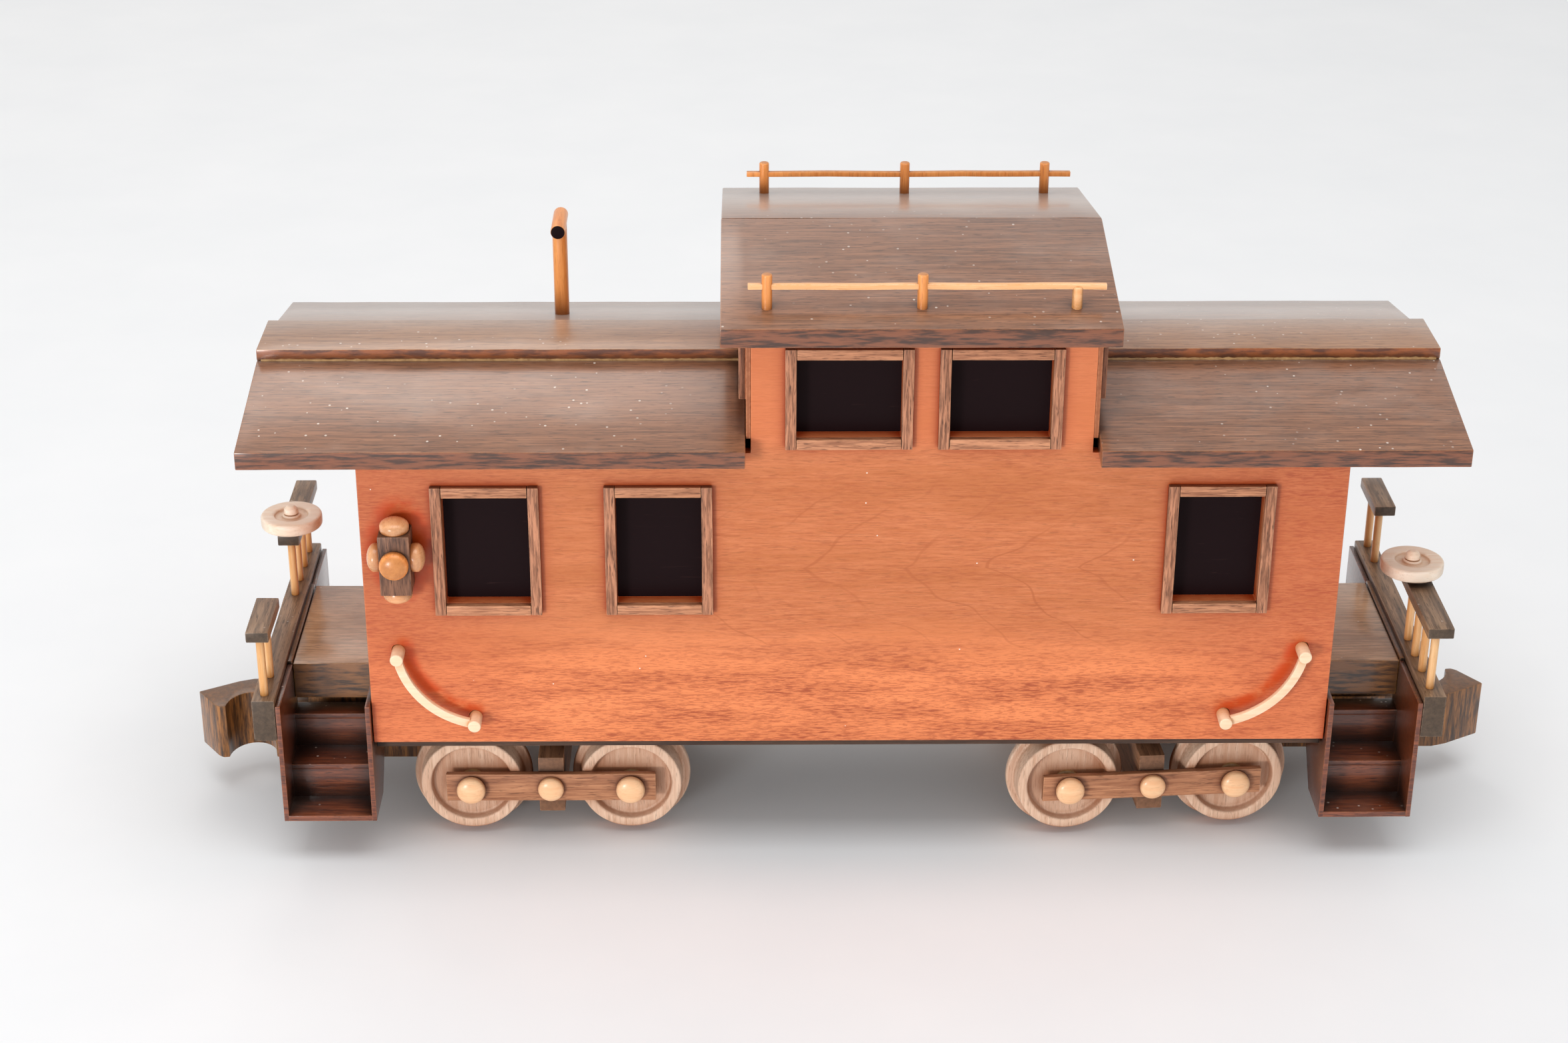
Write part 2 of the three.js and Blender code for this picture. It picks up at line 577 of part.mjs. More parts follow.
// One flight of steps under a corner of the car: two side boards, three treads and two risers.
function steps(end, side) {
  const backs = [1, 2].map((flight) => STEP_FRONT - flight * STEP_RUN - RISER_THICKNESS / 2);
  const levels = [0, 1, 2].map((flight) => STEP_BOTTOM + STEP_THICKNESS + flight * STEP_RISE);
  const platformUnder = PLATFORM_TOP - PLATFORM_THICKNESS - GLUE_GAP;
  const platformEdge = PLATFORM_WIDTH / 2 + GLUE_GAP;
  const deepest = platformEdge - STEP_TUCK;
  const outline = [
    [STEP_FRONT, PLATFORM_TOP], [STEP_FRONT, STEP_BOTTOM], STEP_HEEL, [deepest, STEP_SHOULDER],
    [deepest, platformUnder], [platformEdge, platformUnder], [platformEdge, PLATFORM_TOP],
  ].map(([y, z]) => [side * y, z]);
  const sideBoards = [[STEP_INNER_X, STEP_INNER_X + STEP_BOARD], [STEP_OUTER_X - STEP_BOARD, STEP_OUTER_X]]
    .map(([from, to]) => board('x', [end * from, end * to].sort((a, b) => a - b), outline));
  const span = [end * (STEP_INNER_X + REACH), end * (STEP_OUTER_X - REACH)];
  const plate = (ys, zs) => block(span, ys.map((y) => side * y), zs);
  const half = RISER_THICKNESS / 2;
  const risers = backs.map((y, i) => plate([y + half, y - half], [levels[i] - STEP_THICKNESS, levels[i + 1]]));
  const fronts = [STEP_FRONT, backs[0] + half, backs[1] + half];
  const rears = [backs[0] - half, backs[1] - half, deepest];
  const treads = levels.map((level, i) => plate([fronts[i], rears[i]], [level - STEP_THICKNESS, level]));
  return join(...sideBoards, ...treads, ...risers);
}

// The coupler of the left end, in plan; the right one is the same turned half a turn.
function coupler() {
  const { x, y, radius, stretch } = HOOK_NOTCH;
  const outline = [
    [-COUPLER_INNER_X, COUPLER_NEAR], [-COUPLER_INNER_X, COUPLER_FAR],
    ...COUPLER_NOSE.map(([along, across]) => [-along, across]),
  ];
  const bottom = COUPLER_TOP - COUPLER_HEIGHT;
  const shank = board('z', [bottom, COUPLER_TOP], outline);
  const platformUnder = PLATFORM_TOP - PLATFORM_THICKNESS - GLUE_GAP;
  const { length, nearInset, farInset } = COUPLER_BLOCK;
  const blockStart = STEP_INNER_X + GLUE_GAP;
  const width = [COUPLER_NEAR + nearInset, COUPLER_FAR - farInset];
  const mounting = block([-blockStart, -blockStart - length], width, [COUPLER_TOP - REACH, platformUnder]);
  const notch = rod(radius, [bottom - REACH, COUPLER_TOP + REACH], FINE)
    .scale(1, stretch, 1).translate(-x, y, 0);
  return cut(join(shank, mounting), notch);
}

// ---- Trucks, each built about its own kingpin with the axles along Y ----

const BAR_BACK = WHEEL_FACE_Y + WHEEL_PLAY;
const BAR_FACE = BAR_BACK + SIDE_BAR_THICKNESS;
const AXLE_Z = FLANGE_RADIUS;

function bolster() {
  const top = BODY_Z + BOLSTER_TOP;
  const length = BAR_BACK - GLUE_GAP;
  const beam = block([-BOLSTER_WIDTH / 2, BOLSTER_WIDTH / 2], [-length, length], [top - BOLSTER_HEIGHT, top]);
  const bore = rod(KINGPIN_RADIUS + HOLE_GAP, [top - BOLSTER_HEIGHT - REACH, top + REACH]);
  const pegs = Object.values(SIDES).flatMap((side) => [
    pegAlongY(AXLE_RADIUS, side, length - REACH, BAR_FACE + REACH).translate(0, 0, AXLE_Z),
    button(BOLSTER_CAP, 0).rotateX(-side * Math.PI / 2).translate(0, side * (BAR_FACE + GLUE_GAP), AXLE_Z),
  ]);
  return join(cut(beam, bore), ...pegs);
}

function sideBar(side, { wheelbase, barLength, barHeight }) {
  const span = [side * BAR_BACK, side * BAR_FACE];
  const bar = block([-barLength / 2, barLength / 2], span,
    [AXLE_Z - barHeight / 2, AXLE_Z + barHeight / 2]);
  const holes = [-wheelbase / 2, 0, wheelbase / 2].map((x) =>
    pegAlongY(AXLE_RADIUS + HOLE_GAP, side, BAR_BACK - REACH, BAR_FACE + REACH).translate(x, 0, AXLE_Z));
  return cut(bar, ...holes);
}

// Two dished, flanged wheels on a through axle, with a button on each end outside the side bars.
function wheelset() {
  const dishRadius = TREAD_RADIUS - RIM_WIDTH;
  const flangeStart = WHEEL_THICKNESS - FLANGE_THICKNESS;
  const profile = [
    [0, DISH_DEPTH], [dishRadius - DISH_SLOPE, DISH_DEPTH], [dishRadius, 0], [TREAD_RADIUS, 0],
    [TREAD_RADIUS + FLANGE_FILLET, flangeStart], [FLANGE_RADIUS, flangeStart + FLANGE_FILLET],
    [FLANGE_RADIUS, WHEEL_THICKNESS], [0, WHEEL_THICKNESS],
  ];
  const wheel = () => turned(profile, FINE);
  const farWheel = wheel().rotateX(Math.PI / 2).translate(0, WHEEL_FACE_Y, 0);
  const nearWheel = wheel().rotateX(-Math.PI / 2).translate(0, -WHEEL_FACE_Y, 0);
  const capFace = BAR_FACE + FIT_GAP;
  const axle = alongY(rod(AXLE_RADIUS, [-capFace - REACH, capFace + REACH]));
  const caps = Object.values(SIDES).map((side) =>
    button(AXLE_CAP, 0).rotateX(-side * Math.PI / 2).translate(0, side * capFace, 0));
  return join(nearWheel, farWheel, axle, ...caps);
}

function truck(name, spec) {
  const group = new THREE.Group();
  group.position.set(spec.x, 0, 0);
  group.rotation.z = THREE.MathUtils.degToRad(spec.turn);
  group.add(mesh(`bolster_${name}`, bolster(), DARK));
  for (const [sideName, side] of Object.entries(SIDES)) {
    group.add(mesh(`side_bar_${name}_${sideName}`, sideBar(side, spec), BAR_WOOD));
  }
  for (const [place, sign] of [['outer', Math.sign(spec.x)], ['inner', -Math.sign(spec.x)]]) {
    const set = mesh(`wheelset_${name}_${place}`, wheelset(), BEECH);
    set.position.set(sign * spec.wheelbase / 2, 0, AXLE_Z);
    group.add(set);
  }
  return group;
}

// ---- Assembly ----

const caboose = new THREE.Group();
const body = new THREE.Group();
body.position.z = BODY_Z;
caboose.add(body);

body.add(mesh('floor_panel', floorPanel(), DARK));
body.add(mesh('platform_board', platformBoard(), DARK));

for (const [sideName, side] of Object.entries(SIDES)) {
  body.add(mesh(`side_wall_${sideName}`, sideWall(side), RED_STAIN));
  body.add(mesh(`cupola_roof_${sideName}`, cupolaRoofBoard(side), WALNUT));
  body.add(mesh(`grab_rail_${sideName}`, grabRail(side), AMBER));
  body.add(mesh(`marker_lamp_${sideName}`, markerLamp(side), WALNUT));
  SIDE_WINDOWS.forEach((opening, i) => {
    body.add(mesh(`window_frame_${sideName}_${i + 1}`, sideFrame(side, opening), TRIM));
  });
  CUPOLA_WINDOWS.forEach((opening, i) => {
    body.add(mesh(`cupola_frame_${sideName}_${i + 1}`, sideFrame(side, opening), TRIM));
  });
}

for (const [endName, end] of Object.entries(ENDS)) {
  body.add(mesh(`end_wall_${endName}`, endWall(end), RED_STAIN));
  body.add(mesh(`cupola_end_${endName}`, cupolaEnd(end), RED_STAIN));
  body.add(mesh(`running_board_${endName}`, runningBoard(endName), WALNUT));
  body.add(mesh(`end_beam_${endName}`, endBeam(endName), DARK));
  for (const [sideName, side] of Object.entries(SIDES)) {
    body.add(mesh(`roof_${endName}_${sideName}`, mainRoofBoard(endName, side), WALNUT));
    body.add(mesh(`steps_${endName}_${sideName}`, steps(end, side), MAHOGANY));
    body.add(mesh(`grab_handle_${endName}_${sideName}`, grabHandle(side, end), MAPLE));
  }
  const longSide = LONG_RAIL_SIDE[endName];
  const brakeX = endName === 'left' ? LEFT_BRAKE_X : RIGHT_BRAKE_X;
  body.add(mesh(`railing_long_${endName}`, railing(end, longSide, LONG_RAIL, brakeX), WALNUT));
  body.add(mesh(`railing_short_${endName}`, railing(end, -longSide, SHORT_RAIL), WALNUT));
  body.add(mesh(`brake_wheel_${endName}`, brakeWheel(brakeX, longSide * BRAKE_WHEEL_Y), MAPLE));
  const hook = mesh(`coupler_${endName}`, coupler(), DARK);
  hook.rotation.z = endName === 'right' ? Math.PI : 0;
  body.add(hook);
}

body.add(mesh('window_liner', windowLiner(), BLACK));
body.add(mesh('smokestack', smokestack(), AMBER));

caboose.add(truck('left', LEFT_TRUCK));
caboose.add(truck('right', RIGHT_TRUCK));

export default caboose;
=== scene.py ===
# Looks for a wooden model caboose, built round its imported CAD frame.
# Pieces are measured in millimetres, and MM turns them to metres, in which shader nodes and the studio work.
from math import atan2, cos, pi, radians, sin

import bmesh
import bpy
from mathutils import Matrix, Vector, noise


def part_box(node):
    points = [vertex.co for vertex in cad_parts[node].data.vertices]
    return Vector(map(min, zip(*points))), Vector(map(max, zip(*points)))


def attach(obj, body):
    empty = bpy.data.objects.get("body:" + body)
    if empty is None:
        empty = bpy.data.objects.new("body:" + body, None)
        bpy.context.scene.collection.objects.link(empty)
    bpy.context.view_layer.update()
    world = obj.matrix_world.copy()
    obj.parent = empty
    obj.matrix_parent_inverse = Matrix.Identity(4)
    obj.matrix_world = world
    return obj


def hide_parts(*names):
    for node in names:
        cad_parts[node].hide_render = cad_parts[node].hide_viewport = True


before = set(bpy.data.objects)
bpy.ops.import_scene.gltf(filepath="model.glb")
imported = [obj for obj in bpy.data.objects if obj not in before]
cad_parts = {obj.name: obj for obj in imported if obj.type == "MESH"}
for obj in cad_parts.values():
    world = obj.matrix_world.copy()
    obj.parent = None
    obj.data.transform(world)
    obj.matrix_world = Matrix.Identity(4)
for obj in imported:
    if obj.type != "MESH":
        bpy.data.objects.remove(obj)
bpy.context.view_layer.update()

MM = 0.001

# ---- Sizes of the fine pieces, in millimetres ----

STRIP_WIDTH = 5.1
JOINT = 0.12
BUTTON_HEIGHT = 6.2
PEG_RADIUS = 3.1
HANDLE_REACH = Vector((35.0, -35.8))
HANDLE_STRIP = {"width": 4.2, "thickness": 2.6, "bow": 7.9, "stand_off": 5.6}
POST_RADIUS = 2.0
RAIL_CAP_THICKNESS = 5.4
LONG_POSTS = (26.0, 42.4, 58.0, 75.2)
SHORT_POSTS = (60.0, 78.0)
GRAB_POSTS = (-40.2, 29.5, 98.8)
GRAB_POST_RADIUS = 2.4
GRAB_STRIP = 2.6
GRAB_STRIP_Z = 297.8
BRAKE_PIN = {"radius": 1.6, "head": 3.8, "height": 4.2}
BRAKE_WHEEL = {"rim": 7.2, "hub": 4.4, "web": 2.2, "play": 0.15}
ROOF = {"slope": 0.187, "thickness": 8.6}
CUPOLA_ROOF = {"slope": 0.1887, "thickness": 9.1}
LAMP_KNOB = {"radius": 6.8, "raised": 1.4}
BEAM = {"thickness": 10.8, "backing_half": 41.4, "backing_gap": 0.4, "backing_drop": 2.1}
END_TRIM = {"out": 0.15, "in": 3.0}
END_WINDOW = {"y": 46.5, "width": 41.0, "bottom": 246.1, "top": 264.5}
STEP = {"board": 2.4, "tread": 3.0, "rise": 17.9, "run": 18.6, "riser_half": 1.5, "gap": 0.1,
        "foot": 58.0, "shoulder": 37.0, "heel": 6.0}
HOOK = {"tail": -206.0, "near": -18.0, "far": 11.2, "cheek": -301.0, "notch": Vector((-299.5, -17.6)),
        "notch_radii": (11.8, 14.4), "shank_height": 29.7}
HOOK_NOSE = ((-308.5, 8.6), (-327.2, -2.0), (-317.0, -16.2), (-314.4, -18.0))
HOOK_BLOCK = {"low": (-270.2, -13.8), "high": (-229.2, 10.0)}
WHEEL = {"tread": 24.9, "flange": 29.1, "thickness": 14.5, "flange_thickness": 4.3, "rim": 4.7, "dish": 4.2}
AXLE_RADIUS = 3.1
KINGPIN_RADIUS = 3.1
HUB_GLUE = ((AXLE_RADIUS - 0.4, 3.0), (6.4, 4.6), (5.6, 3.2), (AXLE_RADIUS, 2.2))
BORE_PLAY = 0.4
CAP_GAP = 0.9
WHEEL_FACE = 59.0
BAR_FACES = {"back": 59.6, "front": 62.8}
BAR_SIZES = {"left": {"length": 102.8, "height": 15.0}, "right": {"length": 108.8, "height": 13.6}}
BOLSTER = {"half_width": 6.3, "half_length": 59.4, "height": 31.0, "gap": 0.6}
AXLE_CAP = {"radius": 7.05, "height": 5.4}
BOLSTER_CAP = {"radius": 6.35, "height": 4.8}

WAVER_SEED = 1
SHARP_ANGLE = radians(35)
SIDES = {"near": -1, "far": 1}
ENDS = {"left": -1, "right": 1}
CORNERS = [(end, side, sign) for end in ENDS for side, sign in SIDES.items()]

noise.seed_set(WAVER_SEED)  # noise_vector starts from the clock without it


def box(node):
    """The lowest and highest corners of a CAD node, in millimetres."""
    low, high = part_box(node)
    return Vector(low) / MM, Vector(high) / MM


def outward(corners, axis, sign):
    """The coordinate of a box's face that looks the way of the sign."""
    return corners[0 if sign < 0 else 1][axis]


# ---- Materials ----

def tone(code):
    """A linear colour from a six-digit sRGB code."""
    parts = [int(code[i:i + 2], 16) / 255 for i in (0, 2, 4)]
    linear = [part / 12.92 if part <= 0.04045 else ((part + 0.055) / 1.055) ** 2.4 for part in parts]
    return (*linear, 1.0)


class Shader:
    """A material's node tree, with short calls for the nodes that the finishes share."""

    def __init__(self, name):
        self.material = bpy.data.materials.new(name)
        self.material.use_nodes = True
        self.tree = self.material.node_tree
        self.tree.nodes.clear()
        self.coordinates = self.add("TexCoord", output=3)

    def add(self, kind, inputs=None, output=0, **settings):
        made = self.tree.nodes.new("ShaderNode" + kind)
        for key, value in settings.items():
            setattr(made, key, value)
        for key, value in (inputs or {}).items():
            if isinstance(value, bpy.types.NodeSocket):
                self.tree.links.new(value, made.inputs[key])
            else:
                made.inputs[key].default_value = value
        return made.outputs[output] if made.outputs else None

    def maths(self, operation, a, b=0.0):
        return self.add("Math", {0: a, 1: b}, operation=operation)

    def times(self, a, b):
        return self.maths("MULTIPLY", a, b)

    def mix(self, factor, a, b):
        return self.add("Mix", {0: factor, 6: a, 7: b}, output=2, data_type="RGBA", clamp_factor=True)

    def tint(self, colour, code, cover, share):
        """Lays a tone over a colour, as a share of the cover."""
        return self.mix(self.times(cover, share), colour, tone(code))

    def between(self, value, low, high):
        """0 below low and 1 above high, smooth between; low may be above high."""
        start, end = (low, high) if low < high else (high, low)
        ramp = (0.0, 1.0) if low < high else (1.0, 0.0)
        inputs = {"Value": value, "From Min": start, "From Max": end, "To Min": ramp[0], "To Max": ramp[1]}
        return self.add("MapRange", inputs, interpolation_type="SMOOTHSTEP")

    def noise(self, place, stretch, detail=3.0, distortion=0.0):
        scaled = self.add("VectorMath", {0: place, 1: stretch}, operation="MULTIPLY")
        return self.add("TexNoise", {"Vector": scaled, "Scale": 1.0, "Detail": detail, "Roughness": 0.6,
                                     "Distortion": distortion})

    def specks(self, place, per_metre, size):
        """Small scattered dots: how many to a metre, and their size as a share of the spacing."""
        scaled = self.add("VectorMath", {0: place, 1: (per_metre,) * 3}, operation="MULTIPLY")
        distance = self.add("TexVoronoi", {"Vector": scaled, "Scale": 1.0})
        return self.between(distance, size, size * 0.6)

    def finish(self, colour, roughness, height, depth, coat=0.0, specular=0.4):
        """Ends the tree. depth is the height of the bumps in millimetres."""
        bump = self.add("Bump", {"Height": height, "Distance": depth * MM, "Strength": 1.0})
        inputs = {"Base Color": colour, "Roughness": roughness, "Normal": bump, "Coat Weight": coat,
                  "Coat Roughness": 0.2, "Specular IOR Level": specular}
        surface = self.add("BsdfPrincipled", inputs)
        self.add("OutputMaterial", {"Surface": surface})
        return self.material


def stretched(grain, along, across):
    """Noise frequencies per metre for a grain direction."""
    return tuple(along if axis == grain else across for axis in "xyz")


def wood(name, dark, light, shade, worn=None, grain="x", gloss=0.34, coat=0.0, figure=0.35, streaks=0.5,
         pores=0.7, dust_and_sheen=0.0, paints=(), depth=0.05, end_tone=0.55, fibre=450.0, along=24.0, shade_reach=9.0):
    """A wood finish: fibres, contour figure, pores, end grain, worn edges, painted shade in corners, settled
    motes and a painted sheen.

    dark and light are the tones of the grain; worn is the tone of the edges, and shade the tone of the
    painted shade in corners and next to other parts.
    Each paint in turn then changes the colour, before the end grain goes on.
    """
    dark, light = tone(dark), tone(light)
    shader = Shader(name)
    normal = shader.add("TexCoord", output=1)
    random = shader.add("ObjectInfo", output=5)
    shifts = {i: shader.times(random, share) for i, share in enumerate((3.1, 5.3, 7.7))}
    shift = shader.add("CombineXYZ", shifts)
    place = shader.add("VectorMath", {0: shader.coordinates, 1: shift}, operation="ADD")
    fibres = shader.noise(place, stretched(grain, along, fibre), 5.0)
    fine = shader.noise(place, stretched(grain, 130.0, 1700.0), 2.0)
    broad = shader.noise(place, stretched(grain, 5.0, 26.0), 2.0, 0.6)
    contours = shader.noise(place, stretched(grain, 3.0, 26.0), 1.0, 0.8)
    rings = shader.maths("SINE", shader.times(contours, 60.0))
    reach = 0.5 * (1.15 - streaks)
    colour = shader.mix(shader.between(fibres, 0.5 - reach, 0.5 + reach), dark, light)
    colour = shader.mix(shader.times(shader.between(rings, 0.35, 1.0), figure), colour, dark)
    colour = shader.mix(shader.times(shader.between(broad, 0.42, 0.75), 0.4), colour, light)
    pore = shader.between(fine, 0.55, 0.68)
    colour = shader.mix(shader.times(pore, pores), colour, darker(dark, 0.5))
    for paint in paints:
        colour = paint(shader, colour, place)
    speckle, colour = end_grain(shader, colour, place, normal, grain, (dark, light, end_tone))
    # Painted shade: the shade tone is laid in where ambient occlusion finds corners, recesses and parts close
    # by.
    painted_shade_cover = shader.add("AmbientOcclusion", {"Distance": shade_reach * MM}, output=1, samples=6)
    colour = shader.mix(shader.between(painted_shade_cover, 0.97, 0.4), colour, tone(shade))
    if worn:
        colour = worn_edges(shader, colour, speckle, worn)
    if dust_and_sheen:
        colour = paint_dust_and_sheen(shader, colour, place, dust_and_sheen)
    roughness = shader.maths("ADD", gloss - 0.08, shader.times(fibres, 0.16))
    height = shader.maths("SUBTRACT", shader.times(fibres, 0.5), shader.times(pore, 0.6))
    return shader.finish(colour, roughness, height, depth, coat)


def end_grain(shader, colour, place, normal, grain, tones):
    """Speckled darker wood on the faces across the grain. Returns the speckle as well as the colour."""
    dark, light, end_tone = tones
    axis = tuple(1.0 if letter == grain else 0.0 for letter in "xyz")
    facing = shader.add("VectorMath", {0: normal, 1: axis}, output=1, operation="DOT_PRODUCT")
    end_face = shader.between(shader.maths("ABSOLUTE", facing), 0.6, 0.9)
    speckle = shader.noise(place, (420.0, 420.0, 420.0), 3.0)
    end_colour = shader.mix(speckle, darker(dark, 0.7 * end_tone), darker(light, end_tone))
    return speckle, shader.mix(shader.times(end_face, 0.85), colour, end_colour)


def worn_edges(shader, colour, speckle, worn):
    """A lighter tone in patches where edges are rubbed."""
    soft = shader.add("Bevel", {"Radius": 0.0009}, samples=3)
    true = shader.add("NewGeometry", output=1)
    turn = shader.add("VectorMath", {0: soft, 1: true}, output=1, operation="DOT_PRODUCT")
    rubbed = shader.times(shader.between(turn, 0.995, 0.86), shader.between(speckle, 0.3, 0.62))
    return shader.tint(colour, worn, rubbed, 0.6)


def darker(colour, share):
    return (*[share * part for part in colour[:3]], 1.0)


def paint_dust_and_sheen(shader, colour, place, amount):
    """Pale motes in loose clumps and a thin film on what faces up, with a painted sheen where the surface is
    seen at a grazing angle.
    """
    world_normal = shader.add("NewGeometry", output=1)
    up = shader.between(shader.add("SeparateXYZ", {0: world_normal}, output=2), 0.2, 0.9)
    clumps = shader.between(shader.noise(place, (14.0, 14.0, 14.0), 2.0), 0.42, 0.66)
    motes = shader.times(shader.specks(place, 170.0, 0.12), clumps)
    film = shader.between(shader.noise(place, (18.0, 26.0, 26.0), 4.0), 0.42, 0.8)
    # Painted sheen: a pale tone at grazing angles stands in for the reflection of the bright studio.
    painted_sheen = shader.between(shader.add("LayerWeight", {"Blend": 0.5}, output=1), 0.6, 0.9)
    film_and_sheen = shader.maths("ADD", shader.times(film, 0.14), shader.times(painted_sheen, 0.5))
    cover = shader.maths("MAXIMUM", motes, film_and_sheen)
    return shader.mix(shader.times(shader.times(cover, up), amount), colour, DUST_AND_SHEEN)


def arc_between(start, end, bow, steps=20):
    """The centre, radius and turns of an arc between two points, bulging by bow to the chord's right."""
    chord = end - start
    radius = (chord.length ** 2 / 4 + bow ** 2) / (2 * bow)
    normal = Vector((chord.y, -chord.x)).normalized()
    centre = (start + end) / 2 - normal * (radius - bow)
    first, last = (atan2(*(point - centre).yx) for point in (start, end))
    sweep = (last - first + pi) % (2 * pi) - pi
    return centre, radius, [first + sweep * i / steps for i in range(steps + 1)]


def handle_arc(end, side):
    """The middles of a grab handle's pegs and its arc's centre, radius and turns, in X and Z."""
    mirror = ENDS[end]
    corners = box(f"grab_handle_{end}_{side}")
    upper = Vector((outward(corners, 0, mirror) - mirror * PEG_RADIUS, corners[1].z - PEG_RADIUS))
    lower = upper + Vector((-mirror * HANDLE_REACH.x, HANDLE_REACH.y))
    ends = (lower, upper) if mirror > 0 else (upper, lower)
    return upper, lower, arc_between(*ends, HANDLE_STRIP["bow"])


# The pale tone of the settled motes and film, also used for the painted sheen.
DUST_AND_SHEEN = tone("E2D5CA")
WALL_LOW = box("side_wall_near")[0]
ROOF_LOW = box("roof_left_near")[0]


def stained_wall(shader, colour, place):
    """Short ribbon dashes low down and at the ends, contour lines mid-way, a brighter cupola, and painted
    shadow round the grab handles and the marker lamp.
    """
    across = shader.add("SeparateXYZ", {0: shader.coordinates}, output=0)
    height = shader.add("SeparateXYZ", {0: shader.coordinates}, output=2)
    base = WALL_LOW.z * MM
    tall = (ROOF_LOW.z - WALL_LOW.z) * MM
    bands = shader.between(shader.noise(place, (6.0, 60.0, 34.0), 3.0, 0.5), 0.4, 0.68)
    colour = shader.tint(colour, "B5642F", bands, 0.5)
    low_band = shader.between(height, base + 0.5 * tall, base + 0.2 * tall)
    end = shader.between(shader.maths("ABSOLUTE", across), 0.12, 0.225)
    ribboned = shader.maths("MAXIMUM", low_band, shader.maths("MAXIMUM", end, 0.35))
    dashes = shader.between(shader.noise(place, (130.0, 600.0, 1300.0), 3.0), 0.48, 0.62)
    patches = shader.between(shader.noise(place, (16.0, 70.0, 110.0), 3.0), 0.36, 0.62)
    warm = shader.times(low_band, shader.maths("SUBTRACT", 1.0, patches))
    colour = shader.tint(colour, "EE8650", low_band, 0.45)
    colour = shader.tint(colour, "F8945C", warm, 0.6)
    ribbon = shader.times(shader.times(dashes, patches), ribboned)
    colour = shader.tint(colour, "9A4022", ribbon, 0.8)
    flecks = shader.between(shader.noise(place, (240.0, 900.0, 1900.0), 2.0), 0.5, 0.6)
    colour = shader.tint(colour, "A84A26", shader.times(flecks, ribboned), 0.5)
    colour = shader.tint(colour, "B05C30", chevrons(shader, across, height), 0.6)
    colour = shader.tint(colour, "C45C34", end, 0.4)
    cupola = shader.between(height, ROOF_LOW.z * MM, (ROOF_LOW.z + 12) * MM)
    colour = shader.tint(colour, "E8804E", cupola, 0.5)
    # Painted shadow: deep orange where the grab handles and the marker lamp shade the wall.
    colour = shader.tint(colour, "CC4404", painted_fitting_shadow(shader, across, height), 0.85)
    return shader.mix(shader.specks(place, 70.0, 0.03), colour, tone("F4E4D8"))


def distance_on_wall(shader, across, height, centre, shares=(1.0, 1.0)):
    """How far a point of the wall is from a centre, with X and Z each scaled by a share."""
    x = shader.times(shader.maths("SUBTRACT", across, centre[0] * MM), shares[0])
    z = shader.times(shader.maths("SUBTRACT", height, centre[1] * MM), shares[1])
    return shader.add("VectorMath", {0: shader.add("CombineXYZ", {0: x, 1: z})}, output=1, operation="LENGTH")


def painted_fitting_shadow(shader, across, height):
    """Painted shadow of the fittings on the wall: above the curve of each grab handle, and round the marker
    lamp.
    """
    cover = 0.0
    for end in ENDS:
        upper, lower, (centre, radius, _) = handle_arc(end, "near")
        away = shader.maths("SUBTRACT", distance_on_wall(shader, across, height, centre), (radius - 3.8) * MM)
        band = shader.between(shader.maths("ABSOLUTE", away), 0.0055, 0.001)
        left, right = sorted((upper.x, lower.x))
        for start, stop in ((left - 6, left), (right + 6, right)):
            band = shader.times(band, shader.between(across, start * MM, stop * MM))
        for start, stop in ((lower.y - 5, lower.y), (upper.y + 9, upper.y + 2)):
            band = shader.times(band, shader.between(height, start * MM, stop * MM))
        cover = shader.maths("MAXIMUM", cover, band)
    low, high = box("marker_lamp_near")
    middle = (low + high) / 2
    shares = (2 / ((high.x - low.x) * MM), 2 / ((high.z - low.z) * MM))
    ring = distance_on_wall(shader, across, height, (middle.x + 1.5, middle.z + 2.5), shares)
    cover = shader.maths("MAXIMUM", cover, shader.between(ring, 1.4, 0.95))
    uneven = shader.between(shader.noise(shader.coordinates, (70.0, 70.0, 90.0), 3.0), 0.3, 0.55)
    return shader.times(cover, uneven)


def chevrons(shader, across, height):
    """Fine lines that open to the right from points near the middle of the wall."""
    middle = (WALL_LOW.z + 0.62 * (ROOF_LOW.z - WALL_LOW.z)) * MM
    away = shader.maths("ABSOLUTE", shader.maths("SUBTRACT", height, middle))
    wander = shader.times(shader.noise(shader.coordinates, (11.0, 20.0, 24.0), 2.0), 0.07)
    phase = shader.maths("ADD", shader.maths("SUBTRACT", across, shader.times(away, 1.5)), wander)
    lines = shader.between(shader.maths("SINE", shader.times(phase, 150.0)), 0.986, 1.0)
    faded = shader.between(shader.noise(shader.coordinates, (16.0, 20.0, 20.0), 2.0), 0.3, 0.55)
    inside = shader.times(shader.between(across, -0.085, -0.05), shader.between(across, 0.15, 0.11))
    near_middle = shader.between(away, 0.05, 0.03)
    return shader.times(shader.times(lines, faded), shader.times(inside, near_middle))


def upright_shade_and_dashes(dark, light, across=700.0):
    """A paint for the faces to the near and far side: two darker tones in short dashes, partly stain and glue
    marks and partly painted shade on these upright faces.
    """
    def paint(shader, colour, place):
        normal = shader.add("TexCoord", output=1)
        facing = shader.add("VectorMath", {0: normal, 1: (0.0, 1.0, 0.0)}, output=1, operation="DOT_PRODUCT")
        # Painted shade, in part: the upright faces are darkened as if less lit than the tops.
        upright = shader.between(shader.maths("ABSOLUTE", facing), 0.75, 0.95)
        dashes = shader.between(shader.noise(place, (70.0, across, across), 3.0), 0.4, 0.64)
        return shader.mix(shader.times(upright, 0.95), colour, shader.mix(dashes, tone(light), tone(dark)))
    return paint


